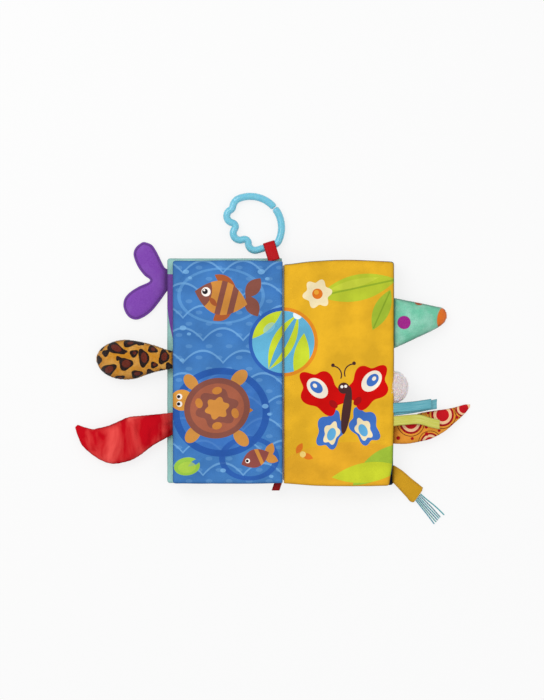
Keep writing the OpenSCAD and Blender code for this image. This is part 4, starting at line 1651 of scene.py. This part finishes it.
    def _loop(self) -> None:
        """Makes the ribbon loop round the wire, with both ends running down into the pages' head."""
        radius = self.wire_r + 0.4 + self.loop_t / 2
        root_z = LEVELS[1] - self.wire_z
        point = math.hypot(self.reach, root_z) + 2
        half = math.acos(radius / point)
        lean = math.atan2(root_z, self.reach)
        profile = [np.array((radius * math.cos(half + i * (2 * math.pi - 2 * half) / 40),
                             radius * math.sin(half + i * (2 * math.pi - 2 * half) / 40))) for i in range(41)]
        root = np.array((point * 0.9, 0.0))
        first = [root + (profile[0] - root) * i / 10 + np.array((0, 0.35)) * (1 - i / 10) for i in range(10)]
        last = [profile[-1] + (root - profile[-1]) * (i + 1) / 10 - np.array((0, 0.35)) * ((i + 1) / 10)
                for i in range(10)]
        line = []
        for away, up in first + profile + last:
            back = away * math.cos(lean) - up * math.sin(lean)
            high = away * math.sin(lean) + up * math.cos(lean)
            line.append(tuple(self._place((0.0, -back, high))))
        a = math.radians(self.lean)
        strip = Strip("ring_loop_ribbon", line, [(math.cos(a), math.sin(a), 0)] * len(line), self.loop_w,
                      self.loop_t * 0.8, curl=0.0)
        Piece.refine(strip.piece)
        Piece.paint(strip.piece, RibbonSatin("loop_satin", "#ab020c", "#c81020", 1.0).make())
        Piece.hand_over(strip.piece, "front_half", "red_satin", "ring_loop")


@dataclass
class FootTag:
    """A short folded ribbon end that sticks out at the foot."""

    width: float = 8.0
    length: float = 6.5
    lean: float = 2.5

    def build(self) -> None:
        """Makes the folded tag."""
        line = []
        for i in range(25):
            u = i / 24
            out = self.length * math.sin(math.pi * u)
            fold = 0.55 * math.cos(math.pi * u)
            line.append((-5.2 - self.lean * out / self.length, -HALF_H + 0.9 - CLEAR - out * 1.13,
                         LEVELS[1] + fold))
        strip = Strip("foot_tag_ribbon", line, [(1, 0, 0)] * len(line), self.width, 0.5)
        Piece.refine(strip.piece)
        Piece.paint(strip.piece, RibbonSatin("tag_satin", "#780209", "#9a0a14", 0.9).make())
        Piece.hand_over(strip.piece, "front_half", "dark_red_satin", "foot_tag")
        max(strip.length, 10.0) * MM


def pond_marks() -> tuple[Mark, ...]:
    """The left page's print: fish, a tortoise on a ripple, pads and bubbles."""
    oval, petal, band, bloom, ring = Form.OVAL, Form.PETAL, Form.BAND, Form.BLOOM, Form.RING
    shell = Mark(oval, "#885044", -66, -36, 33, 30, 15)
    fish = Mark(petal, "#cd8a3e", -62, 74, 27, 17, -14)
    small = Mark(petal, "#8d4a44", -28, -86, 15, 9, 24)
    marks = [
        Mark(oval, "#3a6fbc", -62, -40, 47, 43, 0, 0.75), Mark(ring, "#2656a6", -62, -40, 45, 41, 0, 0.9, 8),
        Mark(ring, "#2a5aac", -34, -86, 27, 20, 0, 0.85, 11),
        Mark(ring, "#6ba6dc", -62, 76, 42, 27, 0, 0.5, 4),
        Mark(oval, "#cb8c42", -92, -10, 9, 6, 130), Mark(oval, "#cb8c42", -44, -6, 10, 6.5, 45),
        Mark(oval, "#cb8c42", -90, -62, 10, 6.5, 50), Mark(oval, "#cb8c42", -42, -66, 9.5, 6, -48),
        Mark(petal, "#c27c30", -38, -38, 8, 3.4, 0), Mark(oval, "#dc9a42", -101, -28, 11.5, 10.5, 0), shell,
        Mark(oval, "#a65e46", -66, -36, 27, 24.5, 15), Mark(bloom, "#885044", -66, -36, 22, 20, 15, 1, 6),
        Mark(bloom, "#cd8a3e", -66, -36, 12.5, 11.5, 15, 1, 6),
        Mark(oval, "#c9823a", -66, -18.5, 5, 3.6, 15), Mark(oval, "#c9823a", -66, -53.5, 5, 3.6, 15),
        Mark(oval, "#c9823a", -84, -31, 3.6, 5, 15), Mark(oval, "#c9823a", -48, -41, 3.6, 5, 15),
        Mark(oval, "#fbf4ee", -103.5, -24.5, 2.9, 2.9), Mark(oval, "#fbf4ee", -103.5, -31.8, 2.9, 2.9),
        Mark(oval, "#231b20", -104.3, -24.5, 1.7, 1.7), Mark(oval, "#231b20", -104.3, -31.8, 1.7, 1.7),
        Mark(petal, "#885044", -30, 84, 12, 7, 52), Mark(petal, "#885044", -31, 66, 12, 7, -62),
        Mark(petal, "#a9582f", -60, 58, 12, 6, 34), Mark(petal, "#a9582f", -58, 91, 12, 5, -30), fish,
        Mark(band, "#885044", -50, 71, 3.0, 20, -14, within=fish),
        Mark(band, "#885044", -62, 74, 2.8, 20, -14, within=fish),
        Mark(oval, "#885044", -88, 81, 17, 19, -14, within=fish), Mark(oval, "#fbf4ee", -77, 80, 4.6, 4.6),
        Mark(oval, "#231b20", -78, 80.4, 2.8, 2.8), Mark(oval, "#fbf4ee", -78.8, 81.6, 1.0, 1.0),
        Mark(petal, "#a9582f", -70, 70, 6, 2.6, -50), Mark(petal, "#cd8a3e", -13.5, -78, 8, 4.5, 70),
        Mark(petal, "#cd8a3e", -12.5, -86, 8, 4.5, -20), small,
        Mark(band, "#cd8a3e", -24, -84, 1.8, 9, 24, within=small),
        Mark(oval, "#fbf4ee", -35.5, -88.5, 2.3, 2.3), Mark(oval, "#231b20", -35.9, -88.5, 1.4, 1.4),
        Mark(oval, "#9ecb4a", -96, -94, 13, 9, 8), Mark(petal, "#4480c4", -88, -90, 8, 2.4, 30),
        Mark(oval, "#b7d84e", -96, -95, 9, 5.6, 8, 0.7),
    ]
    bubbles = ((-97, 100, 2.2), (-93, 94, 1.4), (-22, 100, 2.6), (-16, 93, 1.6), (-100, 44, 2.4),
               (-94, 38, 1.5), (-18, -34, 2.3), (-14, -42, 1.5), (-60, -98, 2.0), (-12, -104, 1.6),
               (-101, 12, 1.7))
    marks += [Mark(oval, "#7db6e6", x, y, r * 1.4, r, 0, 0.75) for x, y, r in bubbles]
    return tuple(marks) + ball_marks(-1)


def garden_marks() -> tuple[Mark, ...]:
    """The right page's print: a butterfly, a flower and leaves."""
    oval, petal, band, bloom, ring = Form.OVAL, Form.PETAL, Form.BAND, Form.BLOOM, Form.RING
    wings = (Mark(bloom, "#3f6fc0", 47, -58, 21, 15, 72, 1, 5), Mark(bloom, "#3f6fc0", 81, -54, 21, 15, 116, 1, 5),
             Mark(bloom, "#ce0402", 38, -20, 28, 20, 138, 1, 5), Mark(bloom, "#ce0402", 84, -14, 27, 20, 48, 1, 5))
    leaf = Mark(petal, "#b9c832", 74, 84, 40, 13, 12)
    return (
        Mark(oval, "#e3a229", 60, -100, 70, 30, 4, 0.55), Mark(petal, "#a3c23a", 96, -92, 34, 12, 38),
        Mark(petal, "#c6cf2e", 84, -100, 36, 10, 8), leaf,
        Mark(band, "#97b12c", 74, 84, 38, 0.9, 12, within=leaf),
        Mark(petal, "#cfd845", 70, 88, 26, 4, 14, 0.6),
        Mark(petal, "#a4bf35", 98, 62, 22, 8, 66), Mark(band, "#8aa82a", 98, 62, 20, 0.7, 66),
        Mark(bloom, "#f3e2b6", 34, 78, 15, 15, 10, 1, 6), Mark(oval, "#e2761f", 34, 78, 5.2, 5.2),
        Mark(oval, "#f1b13a", 33, 79.5, 2.4, 2.4, 0, 0.8),
        *wings,
        Mark(bloom, "#f2e0b4", 48, -61, 12.5, 8.5, 72, 1, 5),
        Mark(bloom, "#f2e0b4", 80, -57, 12.5, 8.5, 116, 1, 5),
        Mark(oval, "#5fa9d6", 48, -62, 6.5, 4.2, 72), Mark(oval, "#5fa9d6", 79.5, -58, 6.5, 4.2, 116),
        Mark(oval, "#f4ead8", 34, -16, 12, 8.4, 138), Mark(oval, "#f4ead8", 88, -9, 12, 8.4, 48),
        Mark(oval, "#3f6fc0", 33, -15, 7.2, 5, 138), Mark(oval, "#3f6fc0", 89, -8, 7.2, 5, 48),
        Mark(oval, "#f4ead8", 31.5, -13.5, 2.4, 1.8, 138), Mark(oval, "#f4ead8", 90.5, -6.5, 2.4, 1.8, 48),
        Mark(oval, "#a40c10", 50, -32, 5, 3.2, 138), Mark(oval, "#a40c10", 74, -29, 5, 3.2, 48),
        Mark(oval, "#4a2a2a", 63, -38, 4.4, 24, -8), Mark(oval, "#4a2a2a", 60.3, -16, 5.6, 5.6),
        Mark(ring, "#4a2a2a", 49, -3, 9, 9, 0, 1, 7, Mark(band, "#000000", 54, 1.5, 6, 8, 0)),
        Mark(ring, "#4a2a2a", 70, -1, 9, 9, 0, 1, 7, Mark(band, "#000000", 66, 3.5, 6, 8, 0)),
        Mark(oval, "#4a2a2a", 49.5, 6.8, 1.8, 1.8), Mark(oval, "#4a2a2a", 70.5, 8.8, 1.8, 1.8),
        Mark(oval, "#fbf4ee", 58.4, -14.6, 1.5, 1.5), Mark(oval, "#fbf4ee", 62.2, -14.2, 1.5, 1.5),
        Mark(petal, "#e2761f", 16, -76, 6, 3, 60), Mark(petal, "#e2761f", 24, -84, 6, 3, -20),
        Mark(oval, "#f3d37a", 19.5, -82, 3, 3),
        *ball_marks(1),
    )


def ball_marks(side: int) -> tuple[Mark, ...]:
    """A striped ball that lies across the gutter, the same on both pages but for its rim.

    Args:
        side: -1 for the left page, 1 for the right one.

    Returns:
        The ball's marks, lowest first.
    """
    oval, petal = Form.OVAL, Form.PETAL
    ball = Mark(oval, "#63b3d6", 0, 30, 31, 31)
    return (
        Mark(oval, "#2f5fb0" if side < 0 else "#e08a22", 0, 30, 34.5, 34.5), ball,
        Mark(petal, "#c8d832", 0, 30, 31, 11, 62, within=ball),
        Mark(petal, "#5aa7cf", 0, 30, 31, 4, 62, within=ball),
        Mark(petal, "#c8d832", -20, 48, 26, 8, 40, within=ball),
        Mark(petal, "#c8d832", 18, 13, 26, 8, 84, within=ball),
        Mark(oval, "#eef7f8", 14.4, 57.2, 4.6, 4.6, within=ball),
        Mark(oval, "#8fd0e6", -14, 44, 7, 4, 40, 0.5, within=ball),
    )


# What the stuffed tails share: the fillings of plush and of plain cloth, and the plush's pile (tufts
# to a square millimetre, their length, thickness and disorder)
PLUSH_FILLING = Filling(3.0, 0.01, 0.6, 14)
CLOTH_FILLING = Filling(3.0, 0.015, 0.7, 14)
SHORT_PILE = (3.0, 0.9, 0.16, 0.45)


def leopard_tail(needlework: Needlework) -> None:
    """Makes the big plush tail with its spotted print."""
    spots = ((-167.3, 23.5, 10.0, 5.4, -25, 0.56), (-177.3, 19, 4.2, 3.4, 40, 0), (-157.3, 8, 7.2, 6.4, 10, 0.6),
             (-174.6, 2, 8.6, 5.8, 30, 0.56), (-139.5, 14, 5.4, 9.4, 8, 0.56), (-119.3, 15, 5.2, 7.6, -12, 0.55),
             (-129.0, 7.0, 3.8, 3.4, 0, 0.45), (-153.3, 28.6, 7.4, 3.6, 8, 0.4), (-114.3, 5.6, 3.4, 4.2, 0, 0),
             (-184.3, 12, 3.0, 4.6, 0, 0), (-149, 18.6, 4.4, 3.8, 30, 0.4), (-143, 29, 4.0, 2.8, -20, 0),
             (-164, -6.4, 5.6, 3.2, 20, 0.4), (-130.5, 22.5, 5.2, 3.6, -20, 0.45), (-146.4, -2, 6.0, 4.0, 10, 0.5),
             (-133, -0.2, 4.2, 3.2, -10, 0), (-121, 0.8, 3.2, 2.6, 0, 0), (-164.5, 13.6, 2.8, 2.4, 0, 0),
             (-182, 24, 3.0, 2.6, 30, 0), (-112.5, 22, 3.0, 2.8, 0, 0), (-158, 20.5, 2.4, 2.0, 0, 0))
    Tail("leopard_tail_plush", "leopard_tail", "leopard_plush", -1, 12.3, LEVELS[1], 76.5, 40, 20,
         ((0, 0, 0.44, 0.3), (0.08, 0, 0.5, 0.42), (0.2, 0.01, 0.63, 0.62), (0.34, 0.01, 0.79, 0.84),
          (0.47, 0, 0.93, 0.96), (0.6, 0, 1, 1), (0.73, 0, 0.95, 0.96), (0.85, 0, 0.78, 0.82),
          (0.94, 0.005, 0.52, 0.55), (1, 0.01, 0.14, 0.16)),
         SpottedPlush("spotted_plush", "#d9941f", "#edbb66", "#25110e", "#732a17", spots).make(),
         filling=PLUSH_FILLING, pile=SHORT_PILE).build(needlework)


def red_tail(needlework: Needlework) -> None:
    """Makes the velvet tail that curves to a point, with the folds that its bend gives it."""
    Tail("red_tail_velvet", "red_tail", "red_velvet", -1, -51.6, LEVELS[0] + CLEAR, 97, 45, 16,
         ((0, 0, 0.5, 0.28), (0.2, -0.066, 0.7, 0.6), (0.34, -0.125, 0.9, 0.84), (0.47, -0.165, 1, 1),
          (0.66, -0.215, 0.86, 1), (0.83, -0.17, 0.56, 0.8), (0.93, -0.097, 0.3, 0.5), (1, -0.026, 0.08, 0.15)),
         Velvet("cut_velvet", "#ba0717", "#ea5650").make(), turn_from=0.5, lumps=1.2, gather=1.6,
         folds=((0.3, 0.4, 0.07, 3.4), (0.46, -0.45, 0.09, 3.6), (0.62, 0.35, 0.08, 3.0),
                (0.17, -0.3, 0.06, 2.4), (0.78, -0.2, 0.07, 2.0), (0.4, 0.1, 0.05, 1.8)),
         filling=CLOTH_FILLING).build(needlework)


def mint_tail(needlework: Needlework) -> None:
    """Makes the plush cone with its coloured tip."""
    marks = (
        Mark(Form.OVAL, "#b5249c", 120.4, 49.4, 6.6, 6.6), Mark(Form.OVAL, "#d9641e", 135.5, 70, 4.4, 3.2, -10),
        Mark(Form.OVAL, "#fb8420", 158.9, 53.8, 5.1, 10.5, -8))
    Tail("mint_tail_plush", "mint_tail", "mint_plush", 1, 48.8, LEVELS[1], 53, 51, 20,
         ((0, 0, 1, 0.4), (0.24, 0.03, 0.83, 0.8), (0.48, 0.064, 0.66, 1), (0.76, 0.102, 0.46, 0.75),
          (0.93, 0.136, 0.3, 0.5), (1, 0.142, 0.1, 0.16)),
         Plush("dotted_plush", "#84dfbe", "#bff2e0", marks, 0.9, 0.2).make(),
         filling=PLUSH_FILLING, pile=SHORT_PILE).build(needlework)


def printed_tail(needlework: Needlework) -> None:
    """Makes the curved cotton tail with its print of discs, each in rings from dark to light."""
    discs: list[Mark] = []
    for x, y, r in ((159.5, -43, 1.0), (127.5, -50.5, 1.0), (147, -70.5, 0.85), (181, -36.5, 0.75)):
        discs += [Mark(Form.RING, "#6e2418", x, y, 13.6 * r, 13.6 * r, 0, 0.9, 3),
                  Mark(Form.OVAL, "#a8101c", x, y, 11.4 * r, 11.4 * r),
                  Mark(Form.OVAL, "#f5c79a", x, y, 9.3 * r, 9.3 * r),
                  Mark(Form.OVAL, "#c5141f", x, y, 6.4 * r, 6.4 * r)]
    dots = ((143, -55, 1.6), (129, -66.5, 1.6), (143.5, -62, 1.9), (115, -66, 1.9), (174, -45.5, 1.6),
            (156, -58.5, 1.5), (117, -41, 1.5), (145, -41, 1.4), (169, -53, 1.3), (136, -71, 1.2))
    discs += [Mark(Form.OVAL, "#b5121d", x, y, r, r) for x, y, r in dots]
    Tail("printed_tail_cotton", "printed_tail", "orange_print", 1, -60.0, LEVELS[0] + CLEAR, 77, 29, 12,
         ((0, 0, 0.83, 0.45), (0.17, 0.012, 0.9, 0.8), (0.33, 0.056, 1, 1), (0.49, 0.091, 0.97, 1),
          (0.66, 0.147, 0.79, 0.85), (0.79, 0.213, 0.56, 0.65), (0.92, 0.29, 0.34, 0.4), (1, 0.34, 0.08, 0.12)),
         PrintedSatin("disc_print_cotton", "#ee9d36", marks=tuple(discs), weave_mm=0.8, gloss=0.75).make(),
         lumps=0.4, gather=0.9, filling=CLOTH_FILLING).build(needlework)


def mustard_tail(needlework: Needlework) -> None:
    """Makes the flat strip that carries the tassel, and the stitches along both of its edges."""
    strip = Tail("mustard_tail_cotton", "mustard_tail", "mustard_cotton", 1, -102.4, LEVELS[0] + CLEAR, 25, 19, 4,
                 ((0, 0, 0.98, 0.7), (0.22, -0.15, 0.84, 1), (0.5, -0.42, 0.88, 1), (0.78, -0.68, 0.96, 1),
                  (0.93, -0.83, 1, 1), (1, -0.884, 0.76, 0.8)),
                 PrintedSatin("mustard_sateen", "#cf9c22", weave_mm=0.8, gloss=0.7).make(), turn_from=0.0,
                 lumps=0.25, gather=0.3, pinch=0.45, around=32)
    strip.build(needlework)
    thread = Yarn("mustard_thread", "#9a6a12", "#c08a22", 0.7).make()
    seams = needlework.sew("mustard_stitches", [strip.edge(0.8), strip.edge(-0.8)], thread,
                           pitch=2.8, length=1.9, thick=0.22)
    Piece.hand_over(seams, "back_half", "mustard_cotton")


def write_sizes() -> None:
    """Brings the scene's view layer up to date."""
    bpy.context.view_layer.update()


def main() -> None:
    """Builds the book piece by piece, camera and cords first."""
    logging.basicConfig(level=logging.INFO, format="%(name)s: %(message)s")
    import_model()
    Studio().build()
    Tassel().build()
    needlework = Needlework()
    Pages(-1, pond_marks()).build()
    Pages(1, garden_marks()).build()
    SpineCloth().build(needlework)
    WhaleTail().build(needlework)
    for make_tail in (leopard_tail, red_tail, mint_tail, printed_tail, mustard_tail):
        make_tail(needlework)
    Pompom().build(needlework)
    Ribbons().build()
    ClipRing().build()
    FootTag().build()
    write_sizes()


if __name__ == "__main__":
    main()
